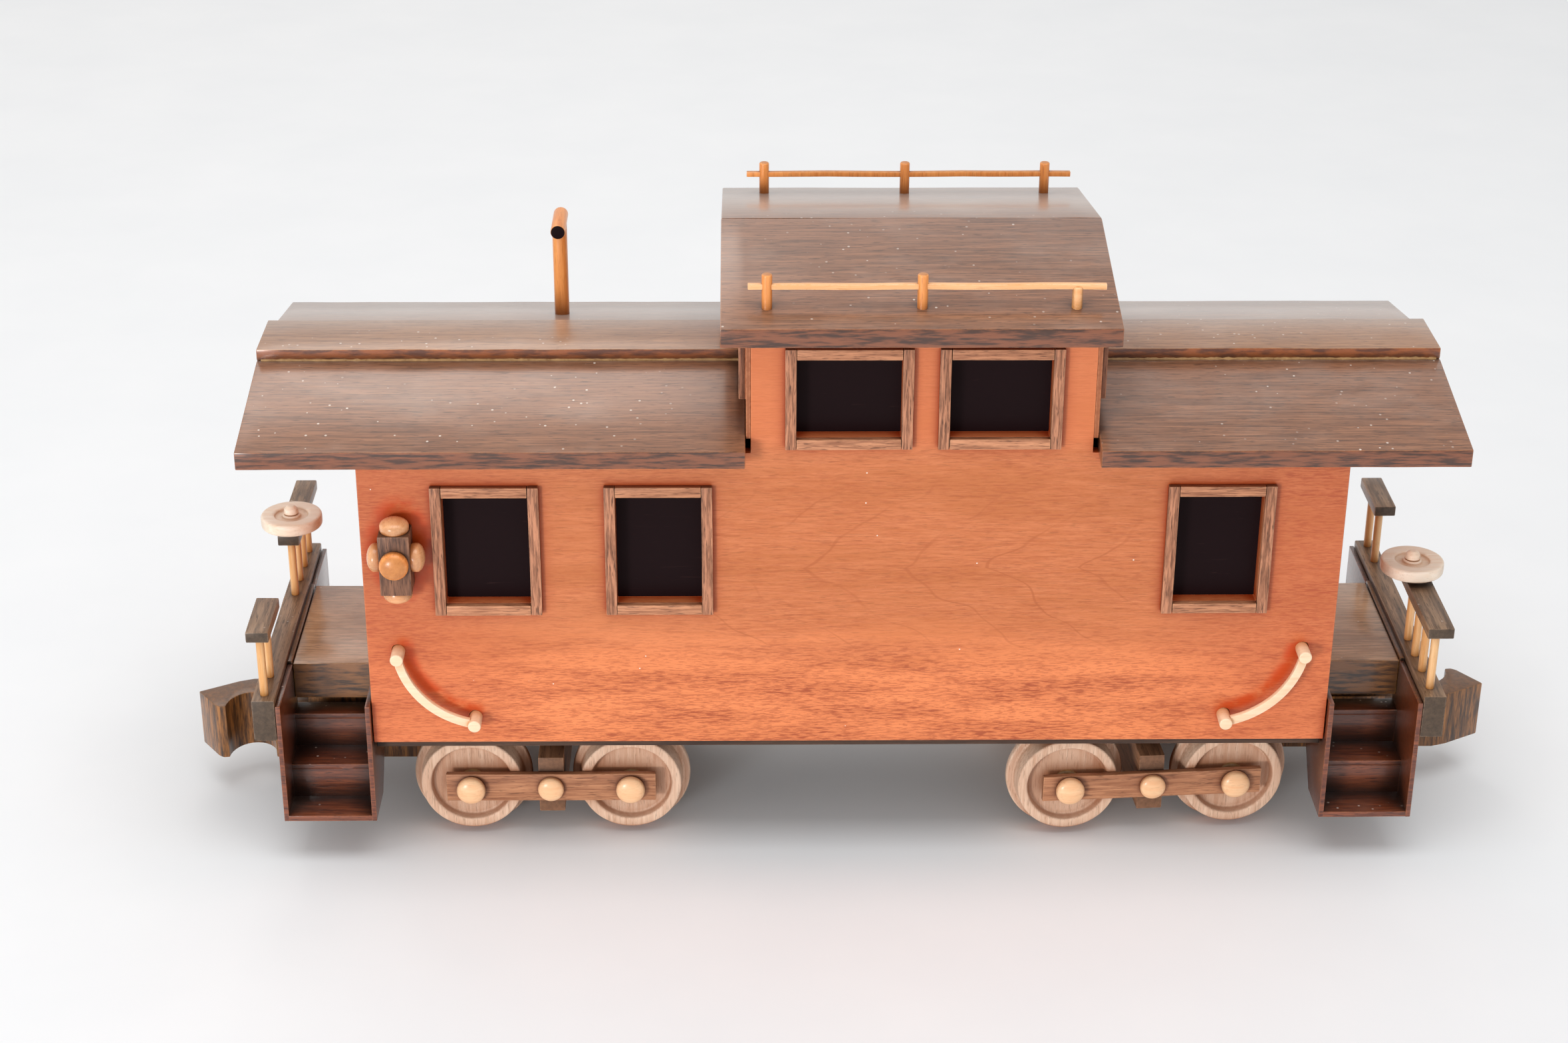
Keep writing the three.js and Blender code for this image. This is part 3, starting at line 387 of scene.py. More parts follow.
def amber_patches(shader, colour, place):
    """Amber and dark patches where the stain lies unevenly."""
    cloud = shader.noise(place, (26.0, 60.0, 60.0), 4.0, 0.5)
    colour = shader.tint(colour, "9E6A34", shader.between(cloud, 0.52, 0.7), 0.6)
    return shader.tint(colour, "4A3222", shader.between(cloud, 0.42, 0.3), 0.55)


def plain_gloss(name, colour, scratch):
    """A smooth dark sheet with faint scratches and smears."""
    shader = Shader(name)
    scratches = shader.between(shader.noise(shader.coordinates, (40.0, 40.0, 1300.0), 3.0, 1.2), 0.66, 0.74)
    smears = shader.noise(shader.coordinates, (60.0, 60.0, 90.0), 4.0)
    mixed = shader.tint(tone(colour), scratch, scratches, 0.3)
    roughness = shader.maths("ADD", 0.3, shader.times(smears, 0.25))
    return shader.finish(mixed, roughness, smears, 0.02, specular=0.06)


def dried_glue():
    """Yellowish glue, smooth and a little glossy."""
    shader = Shader("dried_glue")
    cloud = shader.noise(shader.coordinates, (300.0, 300.0, 300.0), 3.0)
    colour = shader.mix(cloud, tone("5E3C1C"), tone("C09660"))
    roughness = shader.maths("ADD", 0.2, shader.times(cloud, 0.2))
    return shader.finish(colour, roughness, cloud, 0.08, coat=0.5)


FINISHES = {
    "wall": wood(
        "stained_wall", "BF6836", "D88354", "A83A08", "EE9868", gloss=0.42, coat=0.12, figure=0.0,
        streaks=0.35, pores=0.4, paints=(stained_wall,), depth=0.02, end_tone=0.8, fibre=900.0, along=60.0,
        shade_reach=7.0),
    "end_wall": wood(
        "stained_end_wall", "C2683A", "E48E5E", "96400F", "F0A87C", grain="y", gloss=0.45, figure=0.25,
        pores=0.4, fibre=800.0, along=50.0),
    "roof": wood(
        "roof_walnut", "5C3A28", "A67252", "3A2114", "C87C3C", coat=0.9, figure=0.2, dust_and_sheen=0.9,
        paints=(upright_shade_and_dashes("3A1C0C", "82482A"),), depth=0.03, end_tone=0.5, fibre=900.0, along=30.0),
    "running_board": wood(
        "running_board_walnut", "744C32", "B58662", "43260F", "C88A4C", coat=0.9, figure=0.2, pores=0.6,
        dust_and_sheen=0.8, paints=(upright_shade_and_dashes("5A2406", "A0521C", 300.0),), fibre=900.0, along=30.0),
    "lamp": wood(
        "lamp_block", "4E3226", "97694F", "34200F", "B08060", grain="z", gloss=0.45, streaks=0.8, pores=0.9,
        fibre=800.0, along=60.0),
    "rail_strip": wood(
        "trim_rail", "905A3E", "D4936C", "6A3418", "D8A47C", gloss=0.5, figure=0.15, streaks=0.75,
        pores=0.85, fibre=900.0, along=60.0),
    "stile_strip": wood(
        "trim_stile", "7C4E36", "CA8A68", "4E2A18", "CA9874", grain="z", gloss=0.5, figure=0.15,
        streaks=0.85, pores=0.9, fibre=900.0, along=60.0),
    "beam": wood(
        "beam_dark", "5C4430", "A68668", "2C1C12", "B0927A", grain="y", gloss=0.42, coat=0.2, streaks=0.75,
        dust_and_sheen=0.4, end_tone=0.2),
    "platform": wood(
        "platform_dark", "987452", "DCB088", "4E3018", "C08A48", coat=0.9, streaks=0.6, pores=0.6, dust_and_sheen=0.8,
        paints=(amber_patches, upright_shade_and_dashes("2A160A", "8C5A2C", 520.0)), depth=0.1, end_tone=0.8,
        fibre=700.0, along=40.0),
    "steps": wood(
        "steps_mahogany", "46190A", "904C2C", "200C05", "BC7040", coat=0.8, streaks=0.65, pores=0.8,
        dust_and_sheen=0.7, end_tone=0.8, fibre=700.0, along=50.0, shade_reach=15.0),
    "maple": wood(
        "maple", "F0C49A", "FFE4C4", "D89A62", "FFEEDA", gloss=0.42, coat=0.15, figure=0.1, streaks=0.4,
        pores=0.15, depth=0.02, end_tone=0.92),
    "cap": wood(
        "cap_maple", "F2B482", "FFD2A4", "C8804C", "FFDCB8", gloss=0.36, coat=0.3, figure=0.1, streaks=0.4,
        pores=0.2, depth=0.02, end_tone=0.92),
    "brake": wood(
        "brake_maple", "F2D0B0", "FFF0E0", "D0A078", "FFF4E8", gloss=0.45, coat=0.1, figure=0.1, streaks=0.4,
        pores=0.2, depth=0.02, end_tone=0.95, shade_reach=4.0),
    "button": wood(
        "button_maple", "D68C58", "F4BA88", "B0622C", grain="y", gloss=0.28, coat=0.5, figure=0.12,
        streaks=0.4, pores=0.2, depth=0.02, end_tone=0.85),
    "amber": wood(
        "amber_dowel", "DA7C34", "FFAE64", "94501E", "F8C88E", grain="z", coat=0.3, figure=0.12, pores=0.35,
        depth=0.03, end_tone=0.7),
    "post": wood(
        "rail_post", "DC9850", "F8CC98", "A06428", grain="z", gloss=0.4, coat=0.2, figure=0.1, pores=0.3,
        depth=0.03),
    "grab_strip": wood(
        "grab_strip", "F0A868", "FFC894", "B87838", "FFE6C8", gloss=0.4, coat=0.15, figure=0.12, pores=0.3,
        depth=0.03, end_tone=0.6),
    "beech": wood(
        "beech", "D0A284", "F2D2B8", "A86A46", "FFEAD8", grain="y", gloss=0.52, coat=0.03, figure=0.3,
        pores=0.5, depth=0.04, end_tone=0.85, fibre=700.0, shade_reach=11.0),
    "bar": wood(
        "bar_walnut", "925A3C", "CC9068", "5E3420", "DCA880", gloss=0.48, coat=0.08, streaks=0.65,
        end_tone=0.8, fibre=800.0, along=40.0),
    "bolster": wood(
        "bolster_dark", "6E4A34", "B07E5C", "2E1A10", "BE8E6C", grain="y", gloss=0.5, streaks=0.7,
        end_tone=0.75),
    "underside": wood("underside_dark", "3C2A20", "664B3A", "1C110B", gloss=0.55, streaks=0.6, pores=0.5),
    "coupler": wood(
        "coupler_dark", "2C1606", "AA6E34", "160A04", "B47C40", grain="z", gloss=0.36, coat=0.5, figure=0.6,
        streaks=0.75, depth=0.06, end_tone=0.8, fibre=600.0, along=60.0, shade_reach=14.0),
    "liner": plain_gloss("dark_liner", "1C0F11", "4A3430"),
    "glue": dried_glue(),
}


# ---- Mesh builders, in millimetres ----

def mesh_of(name, bm):
    """Turns a bmesh into a mesh and frees it."""
    mesh = bpy.data.meshes.new(name)
    bm.to_mesh(mesh)
    bm.free()
    return mesh


def new_object(name, data):
    """An object in the scene for a mesh, a light or a camera."""
    made = bpy.data.objects.new(name, data)
    bpy.context.collection.objects.link(made)
    return made


def modify(target, kind, **settings):
    made = target.modifiers.new(kind.lower(), kind)
    for key, value in settings.items():
        setattr(made, key, value)


def add_piece(name, bm, finish, node=None, matrix=None, body="car"):
    """Makes an object of the mesh, in its finish, riding on a body and standing for a CAD node."""
    bmesh.ops.recalc_face_normals(bm, faces=bm.faces)
    bmesh.ops.scale(bm, vec=(MM, MM, MM), verts=bm.verts)
    mesh = mesh_of(name, bm)
    mesh.shade_smooth()
    mesh.set_sharp_from_angle(angle=SHARP_ANGLE)
    mesh.materials.append(FINISHES[finish])
    piece = new_object(name, mesh)
    if matrix is not None:
        place = matrix.copy()
        place.translation *= MM
        piece.matrix_world = place
        bpy.context.view_layer.update()
    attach(piece, body)
    if node:
        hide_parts(node)


def soften(bm, radius, segments=2):
    """Rounds every sharp edge."""
    bm.normal_update()
    edges = [edge for edge in bm.edges if edge.is_manifold and edge.calc_face_angle(0.0) > radians(25)]
    bmesh.ops.bevel(bm, geom=edges, offset=radius, segments=segments, profile=0.6, affect="EDGES",
                    clamp_overlap=True)


def waver(bm, amount, seed):
    """Moves the surface in and out a little, as a hand-cut piece's does."""
    for vertex in bm.verts:
        offset = noise.noise_vector(vertex.co * 0.045 + Vector((seed, 2.7 * seed, -1.3 * seed)))
        vertex.co += offset * amount


def seed_of(name):
    """A fixed number for a name, for its wavering."""
    return sum((i + 1) * ord(letter) for i, letter in enumerate(name)) % 97


def board(low, high, radius=0.5, wobble=0.12, seed=1.0):
    """A board between two corners, with rounded edges and slightly uneven faces."""
    bm = bmesh.new()
    bmesh.ops.create_cube(bm, size=1.0)
    size = Vector(high) - Vector(low)
    centre = (Vector(high) + Vector(low)) / 2
    for vertex in bm.verts:
        vertex.co = Vector(co * side for co, side in zip(vertex.co, size)) + centre
    longest = max(range(3), key=lambda axis: size[axis])
    cuts = max(1, min(40, int(size[longest] / 14)))
    along = [edge for edge in bm.edges
             if abs((edge.verts[0].co - edge.verts[1].co)[longest]) > size[longest] / 2]
    bmesh.ops.subdivide_edges(bm, edges=along, cuts=cuts, use_grid_fill=True)
    soften(bm, min(radius, min(size) * 0.3))
    waver(bm, wobble, seed)
    return bm


def prism(axis, span, outline, radius=0.5, slices=1):
    """An outline carried along an axis. Outline points are in the order of the other two axes."""
    bm = bmesh.new()
    place = "xyz".index(axis)
    steps = [span[0] + (span[1] - span[0]) * i / slices for i in range(slices + 1)]
    loops = [[bm.verts.new((*point[:place], depth, *point[place:])) for point in outline] for depth in steps]
    bm.faces.new(loops[0])
    bm.faces.new(loops[-1])
    count = len(outline)
    for first, second in zip(loops, loops[1:]):
        for i in range(count):
            bm.faces.new([first[i], first[(i + 1) % count], second[(i + 1) % count], second[i]])
    bmesh.ops.recalc_face_normals(bm, faces=bm.faces)
    soften(bm, radius)
    return bm


def lathe(profile, segments=48):
    """A turned solid about Z from (radius, height) points that end on the axis or close on themselves."""
    bm = bmesh.new()
    rings = []
    for radius, height in profile:
        if radius < 1e-6:
            rings.append([bm.verts.new((0.0, 0.0, height))])
            continue
        turns = [2 * pi * i / segments for i in range(segments)]
        rings.append([bm.verts.new((radius * cos(a), radius * sin(a), height)) for a in turns])
    for lower, upper in zip(rings, rings[1:]):
        for i in range(segments):
            j = (i + 1) % segments
            corners = [ring[k % len(ring)] for ring, k in ((lower, i), (lower, j), (upper, j), (upper, i))]
            unique = list(dict.fromkeys(corners))
            if len(unique) > 2:
                bm.faces.new(unique)
    return bm


def rounded(points, radius, steps=4):
    """A path whose inner corners are short curves."""
    path = [Vector(point) for point in points]
    result = [tuple(path[0])]
    for before, corner, after in zip(path, path[1:], path[2:]):
        back, forward = before - corner, after - corner
        start = corner + back.normalized() * min(radius, back.length * 0.45)
        end = corner + forward.normalized() * min(radius, forward.length * 0.45)
        for i in range(steps + 1):
            t = i / steps
            result.append(tuple(start * (1 - t) ** 2 + corner * 2 * t * (1 - t) + end * t ** 2))
    return result + [tuple(path[-1])]


def axis_frame(origin, direction):
    """A matrix that takes local Z to a direction, in millimetres."""
    turn = Vector((0, 0, 1)).rotation_difference(Vector(direction)).to_matrix().to_4x4()
    return Matrix.Translation(Vector(origin)) @ turn


def dowel(radius, length, end=0.5, segments=48):
    """A round bar that stands on a plane, with rounded ends."""
    return lathe(rounded([(0, 0), (radius, 0), (radius, length), (0, length)], end), segments)


def button(radius, height):
    """A domed button that stands on a plane."""
    shoulder = height * 0.4
    dome = [(radius * cos(a), shoulder + (height - shoulder) * sin(a))
            for a in [pi / 2 * i / 9 for i in range(9)]]
    return lathe([(0, -0.4), (radius * 0.93, -0.4), (radius * 0.985, 0.5), *dome, (0, height)])


# ---- Body box ----

def dress(node, finish, edge=0.4):
    """Gives a CAD node its finish and rounds its edges."""
    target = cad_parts[node]
    target.material_slots[0].link = "OBJECT"
    target.material_slots[0].material = FINISHES[finish]
    if edge:
        modify(target, "WELD", merge_threshold=2e-6)
        modify(target, "BEVEL", width=edge * MM, segments=2, limit_method="ANGLE", angle_limit=radians(40),
               harden_normals=True)


def make_body():
    for side in SIDES:
        dress(f"side_wall_{side}", "wall")
    dress("floor_panel", "underside")
    dress("window_liner", "liner", 0)
    low, high = box("platform_board")
    add_piece("platform", board(low, high, 0.7, 0.25, 3.0), "platform", "platform_board")
    for end in ENDS:
        dress(f"end_wall_{end}", "end_wall")
        dress(f"cupola_end_{end}", "end_wall", 0.2)


def make_frame(name, low, high, axis, node=None):
    """Four strips round an opening: stiles of full height, with rails between them."""
    across = "xyz".index(axis)
    inner_low, inner_high = low[across] + STRIP_WIDTH, high[across] - STRIP_WIDTH
    spans = {
        "stile_a": ((low[across], inner_low), (low.z, high.z)),
        "stile_b": ((inner_high, high[across]), (low.z, high.z)),
        "rail_top": ((inner_low + JOINT, inner_high - JOINT), (high.z - STRIP_WIDTH, high.z)),
        "rail_sill": ((inner_low + JOINT, inner_high - JOINT), (low.z, low.z + STRIP_WIDTH)),
    }
    for part, ((a, b), (bottom, top)) in spans.items():
        start, stop = low.copy(), high.copy()
        start[across], stop[across] = a, b
        start.z, stop.z = bottom, top
        seed = seed_of(name + part)
        uneven = 0.25 * noise.noise(Vector((seed * 1.7, 0.3, 0.9)))
        if "rail" in part:
            start.z += uneven
            stop.z += uneven
        finish = "stile_strip" if "stile" in part else "rail_strip"
        add_piece(f"{name}_{part}", board(start, stop, 0.45, 0.16, seed), finish, node)


def make_windows():
    names = [f"window_frame_{side}_{i}" for side in SIDES for i in (1, 2, 3)]
    names += [f"cupola_frame_{side}_{i}" for side in SIDES for i in (1, 2)]
    for name in names:
        low, high = box(name)
        make_frame(name.replace("frame", "trim"), low, high, "x", name)
    for end, sign in ENDS.items():
        outer = outward(box(f"cupola_end_{end}"), 0, sign)
        for side, way in SIDES.items():
            centre = way * END_WINDOW["y"]
            half = END_WINDOW["width"] / 2 + STRIP_WIDTH + 0.1
            xs = sorted((outer + sign * END_TRIM["out"], outer - sign * END_TRIM["in"]))
            start = Vector((xs[0], centre - half, END_WINDOW["bottom"] - STRIP_WIDTH - 0.1))
            stop = Vector((xs[1], centre + half, END_WINDOW["top"] + STRIP_WIDTH + 0.1))
            make_frame(f"cupola_end_trim_{end}_{side}", start, stop, "y")


# ---- Roofs ----

def roof_edges(node, side):
    """A roof board's box, and the Y of its outer edge and of its ridge."""
    low, high = box(node)
    return low, high, outward((low, high), 1, side), outward((low, high), 1, -side)


def make_roofs():
    for end in ENDS:
        run_low, run_high = box(f"running_board_{end}")
        for side, sign in SIDES.items():
            node = f"roof_{end}_{side}"
            low, high, edge, ridge = roof_edges(node, sign)
            slope, thick = ROOF["slope"], ROOF["thickness"]
            shoulder = edge - sign * (high.z - low.z - thick) / slope
            under_ridge = low.z + abs(edge - ridge) * slope
            outline = [(edge, low.z), (edge, low.z + thick), (shoulder, high.z), (ridge, high.z),
                       (ridge, under_ridge)]
            shape = prism("x", (low.x, high.x), outline, 0.6, 24)
            waver(shape, 0.22, seed_of(node))
            add_piece(f"roof_board_{end}_{side}", shape, "roof", node)
        shape = board(run_low, run_high, 0.7, 0.3, seed_of(end))
        add_piece(f"ridge_board_{end}", shape, "running_board", f"running_board_{end}")
        make_glue_line(end, run_low, run_high)
    for side, sign in SIDES.items():
        node = f"cupola_roof_{side}"
        low, high, edge, ridge = roof_edges(node, sign)
        thick = CUPOLA_ROOF["thickness"]
        rise = abs(edge - ridge) * CUPOLA_ROOF["slope"]
        outline = [(edge, low.z), (edge, low.z + thick), (ridge, low.z + rise + thick), (ridge, low.z + rise)]
        shape = prism("x", (low.x, high.x), outline, 0.6, 16)
        waver(shape, 0.2, seed_of(node))
        add_piece(f"cupola_board_{side}", shape, "roof", node)


def make_glue_line(end, low, high):
    """A thin uneven bead of glue under the near edge of a running board."""
    bm = bmesh.new()
    steps, sides = 120, 8
    rings = []
    for i in range(steps + 1):
        x = low.x + 2 + (high.x - low.x - 4) * i / steps
        size = 0.8 + 0.55 * noise.noise(Vector((x * 0.37, 4.0, 1.0)))
        turns = [2 * pi * k / sides for k in range(sides)]
        rings.append([bm.verts.new((x, low.y + 0.1 + size * cos(a), low.z + 0.1 + size * sin(a)))
                      for a in turns])
    for first, second in zip(rings, rings[1:]):
        for k in range(sides):
            bm.faces.new([first[k], first[(k + 1) % sides], second[(k + 1) % sides], second[k]])
    bm.faces.new(rings[0])
    bm.faces.new(rings[-1])
    add_piece(f"ridge_glue_{end}", bm, "glue")


# ---- Roof fittings ----

def make_grab_rails():
    for side in SIDES:
        node = f"grab_rail_{side}"
        low, high = box(node)
        y = (low.y + high.y) / 2
        half = GRAB_STRIP / 2
        strip = board((low.x, y - half, GRAB_STRIP_Z - half), (high.x, y + half, GRAB_STRIP_Z + half),
                      0.4, 0.2, seed_of(node))
        add_piece(f"grab_strip_{side}", strip, "grab_strip" if side == "near" else "amber", node)
        for i, x in enumerate(GRAB_POSTS):
            chipped = side == "near" and x == GRAB_POSTS[-1]
            length = (GRAB_STRIP_Z if chipped else high.z) - low.z
            post = dowel(GRAB_POST_RADIUS, length, 0.9)
            finish = "grab_strip" if chipped else "amber"
            add_piece(f"grab_post_{side}_{i + 1}", post, finish, node, Matrix.Translation((x, y, low.z)))


def make_smokestack():
    low, high = box("smokestack")
    radius = (high.x - low.x) / 2
    x = (low.x + high.x) / 2
    y = (low.y + high.y) / 2
    pipe = dowel(radius, high.z - low.z - radius)
    add_piece("stack_pipe", pipe, "amber", "smokestack", Matrix.Translation((x, y, low.z)))
    cap_radius = radius - 0.05
    cap = dowel(cap_radius, high.y - low.y, 0.6)
    place = axis_frame((x, low.y, high.z - cap_radius), (0, 1, 0))
    add_piece("stack_cap", cap, "amber", "smokestack", place)
    mark = lathe(rounded([(0, -0.1), (cap_radius * 0.94, -0.1), (cap_radius * 0.94, 0.8), (0, 0.8)], 0.3))
    add_piece("stack_cap_end", mark, "liner", "smokestack", place)


# ---- Side fittings ----

def make_handles():
    for end, side, sign in CORNERS:
        node = f"grab_handle_{end}_{side}"
        wall = outward(box(f"side_wall_{side}"), 1, sign)
        upper, lower, (centre, radius, turns) = handle_arc(end, side)
        turns = turns[1:-1]
        half = HANDLE_STRIP["width"] / 2
        paths = ((radius + half, turns), (radius - half, turns[::-1]))
        outline = [tuple(centre + away * Vector((cos(a), sin(a)))) for away, path in paths for a in path]
        inner = wall + sign * HANDLE_STRIP["stand_off"]
        strip = prism("y", (inner, inner + sign * HANDLE_STRIP["thickness"]), outline, 0.5)
        waver(strip, 0.15, seed_of(node))
        add_piece(f"handle_{end}_{side}", strip, "maple", node)
        reach = sign * (outward(box(node), 1, sign) - wall)
        for label, point in (("upper", upper), ("lower", lower)):
            peg = dowel(PEG_RADIUS, reach + 2.8, 0.7)
            place = axis_frame((point.x, wall - sign * 2, point.y), (0, sign, 0))
            add_piece(f"handle_peg_{end}_{side}_{label}", peg, "maple", node, place)


def make_lamps():
    for side, sign in SIDES.items():
        node = f"marker_lamp_{side}"
        low, high = box(node)
        inset = Vector((BUTTON_HEIGHT, 0, BUTTON_HEIGHT))
        start, stop = low + inset, high - inset
        if sign < 0:
            start.y += BUTTON_HEIGHT
        else:
            stop.y -= BUTTON_HEIGHT
        add_piece(f"lamp_block_{side}", board(start, stop, 0.8, 0.2, seed_of(node)), "lamp", node)
        centre = (start + stop) / 2
        half = (stop - start) / 2
        knob_z = centre.z + LAMP_KNOB["raised"]
        front = start.y if sign < 0 else stop.y
        places = {
            "front": ((centre.x, front, knob_z), (0, sign, 0)),
            "top": ((centre.x, centre.y, stop.z), (0, 0, 1)),
            "bottom": ((centre.x, centre.y, start.z), (0, 0, -1)),
            "left": ((centre.x - half.x, centre.y, knob_z), (-1, 0, 0)),
            "right": ((centre.x + half.x, centre.y, knob_z), (1, 0, 0)),
        }
        for label, (origin, direction) in places.items():
            knob = button(LAMP_KNOB["radius"], BUTTON_HEIGHT)
            finish = "amber" if label == "front" else "button"
            add_piece(f"lamp_button_{side}_{label}", knob, finish, node, axis_frame(origin, direction))


# ---- End platforms ----

def make_beams():
    for end in ENDS:
        node = f"end_beam_{end}"
        sign = ENDS[end]
        low, high = box(node)
        outer = outward((low, high), 0, sign)
        inner = outer - sign * BEAM["thickness"]
        xs = sorted((outer, inner))
        beam = board((xs[0], low.y, low.z), (xs[1], high.y, high.z), 0.7, 0.25, seed_of(node))
        add_piece(f"beam_{end}", beam, "beam", node)
        backing_x = sorted((inner + sign * BEAM["backing_gap"], outward((low, high), 0, -sign)))
        half = BEAM["backing_half"]
        backing = board((backing_x[0], -half, low.z), (backing_x[1], half, high.z - BEAM["backing_drop"]),
                        0.4, 0.1, 5.0)
        add_piece(f"beam_backing_{end}", backing, "coupler", node)


def make_railing(end, kind):
    """A cap board on round posts. The brake wheel's pin in the long one is made with the brake wheel."""
    node = f"railing_{kind}_{end}"
    low, high = box(node)
    side = 1 if high.y + low.y > 0 else -1
    cap_top = box(f"railing_short_{end}")[1].z
    cap = board((low.x, low.y, cap_top - RAIL_CAP_THICKNESS), (high.x, high.y, cap_top),
                0.7, 0.2, seed_of(node))
    add_piece(f"rail_cap_{kind}_{end}", cap, "beam", node)
    x = (low.x + high.x) / 2
    length = cap_top - RAIL_CAP_THICKNESS + 1 - low.z
    for i, y in enumerate(LONG_POSTS if kind == "long" else SHORT_POSTS):
        post = dowel(POST_RADIUS, length, 0.3, 32)
        add_piece(f"rail_post_{kind}_{end}_{i + 1}", post, "post", node,
                  Matrix.Translation((x, side * y, low.z)))


def make_brake(end):
    node = f"brake_wheel_{end}"
    low, high = box(node)
    centre = (low + high) / 2
    radius = (high.x - low.x) / 2
    thick = high.z - low.z
    rim, hub, web = BRAKE_WHEEL["rim"], BRAKE_WHEEL["hub"], BRAKE_WHEEL["web"]
    bore = BRAKE_PIN["radius"] + BRAKE_WHEEL["play"]
    under, over = (thick - web) / 2, (thick + web) / 2
    profile = [(bore, 0), (hub, 0), (hub + 0.5, under), (radius - rim, under), (radius - rim + 0.5, 0),
               (radius, 0), (radius, thick), (radius - rim + 0.5, thick), (radius - rim, over),
               (hub + 0.5, over), (hub, thick), (bore, thick), (bore, 0)]
    shape = lathe(rounded(profile, 1.6), 64)
    bmesh.ops.remove_doubles(shape, verts=shape.verts, dist=1e-4)
    add_piece(f"brake_{end}", shape, "brake", node, Matrix.Translation((centre.x, centre.y, low.z)),
              f"brake_{end}")
    rail = f"railing_long_{end}"
    top = box(rail)[1].z
    cap_top = box(f"railing_short_{end}")[1].z
    head, height = BRAKE_PIN["head"], BRAKE_PIN["height"]
    seat = top - height
    pin = rounded([(0, cap_top - 2), (BRAKE_PIN["radius"], cap_top - 2), (BRAKE_PIN["radius"], seat),
                   (head, seat), (head * 0.92, seat + height * 0.6), (head * 0.45, top), (0, top)], 0.7)
    add_piece(f"brake_pin_{end}", lathe(pin, 32), "brake", rail,
              Matrix.Translation((centre.x, centre.y, 0)))


def make_steps():
    """Two side boards with treads and risers between them, under each corner."""
    platform_low, platform_high = box("platform_board")
    for end, side, sign in CORNERS:
        node = f"steps_{end}_{side}"
        low, high = box(node)
        front = outward((low, high), 1, sign)
        edge = sign * (platform_high.y + 0.1)
        deepest = edge - sign * STEP["heel"]
        under = platform_low.z - 0.1
        bottom = low.z
        outline = [(front, high.z), (front, bottom), (sign * STEP["foot"], bottom),
                   (deepest, high.z - STEP["shoulder"]), (deepest, under), (edge, under), (edge, high.z)]
        for label, x in (("a", low.x), ("b", high.x - STEP["board"])):
            cheek = prism("x", (x, x + STEP["board"]), outline, 0.4)
            waver(cheek, 0.15, seed_of(node + label))
            add_piece(f"step_cheek_{end}_{side}_{label}", cheek, "steps", node)
        span = (low.x + STEP["board"] - 0.4, high.x - STEP["board"] + 0.4)
        half = STEP["riser_half"]
        back = [front - sign * (STEP["run"] * i + half) for i in (1, 2)]
        levels = [bottom + STEP["tread"] + STEP["rise"] * i for i in (0, 1, 2)]
        behind = [y + sign * (half + STEP["gap"]) for y in back]
        treads = [(front, back[0] - sign, levels[0]), (behind[0], back[1] - sign, levels[1]),
                  (behind[1], deepest, levels[2])]
        risers = [(back[0], levels[0], levels[1]), (back[1], levels[1], levels[2])]
        for i, (y_from, y_to, top) in enumerate(treads):
            ys = sorted((y_from, y_to))
            tread = board((span[0], ys[0], top - STEP["tread"]), (span[1], ys[1], top), 0.5, 0.15,
                          seed_of(node) + i)
            add_piece(f"step_tread_{end}_{side}_{i + 1}", tread, "steps", node)
        for i, (y, bottom_z, top_z) in enumerate(risers):
            riser = board((span[0], y - half, bottom_z - 1), (span[1], y + half, top_z - 1.0), 0.4, 0.15,
                          seed_of(node) + 3 + i)
            add_piece(f"step_riser_{end}_{side}_{i + 1}", riser, "steps", node)


def coupler_outline():
    """The hook of the left end in plan, with its rounded notch."""
    near, far, notch = HOOK["near"], HOOK["far"], HOOK["notch"]
    wide, deep = HOOK["notch_radii"]
    arc = [(notch.x - wide * cos(a), notch.y + deep * sin(a))
           for a in [pi * i / 16 for i in range(17)]]
    return [(HOOK["tail"], near), (HOOK["tail"], far), (HOOK["cheek"], far), *HOOK_NOSE, *arc]


def make_couplers():
    for end, sign in ENDS.items():
        node = f"coupler_{end}"
        low, high = box(node)
        shank_top = low.z + HOOK["shank_height"]
        turn = Matrix.Rotation(pi if sign > 0 else 0, 4, "Z")
        hook = prism("z", (low.z, shank_top), coupler_outline(), 0.7, 3)
        waver(hook, 0.2, 11.0)
        hook.transform(turn)
        add_piece(f"hook_{end}", hook, "coupler", node)
        block = board((*HOOK_BLOCK["low"], shank_top - 1), (*HOOK_BLOCK["high"], high.z), 0.5, 0.1, 4.0)
        block.transform(turn)
        add_piece(f"hook_block_{end}", block, "coupler", node)


# ---- Trucks ----

def truck_frame(end):
    """The truck's own frame: its middle, and the direction from its left wheelset to its right one."""
    centres = [sum(box(f"wheelset_{end}_{place}"), Vector()) / 2 for place in ("outer", "inner")]
    left, right = sorted(centres, key=lambda centre: centre.x)
    along = right - left
    turn = Matrix.Rotation(atan2(along.y, along.x), 4, "Z")
    return Matrix.Translation((left + right) / 2) @ turn, along.length


def wheel_profile():
    """From the face plane, at height 0, to the back of the wheel."""
    dish = WHEEL["tread"] - WHEEL["rim"]
    start = WHEEL["thickness"] - WHEEL["flange_thickness"]
    return rounded([(0, WHEEL["dish"]), (dish - 1.0, WHEEL["dish"]), (dish, 0), (WHEEL["tread"], 0),
                    (WHEEL["tread"] + 0.6, start), (WHEEL["flange"], start + 0.4),
                    (WHEEL["flange"], WHEEL["thickness"]), (0, WHEEL["thickness"])], 1.1)


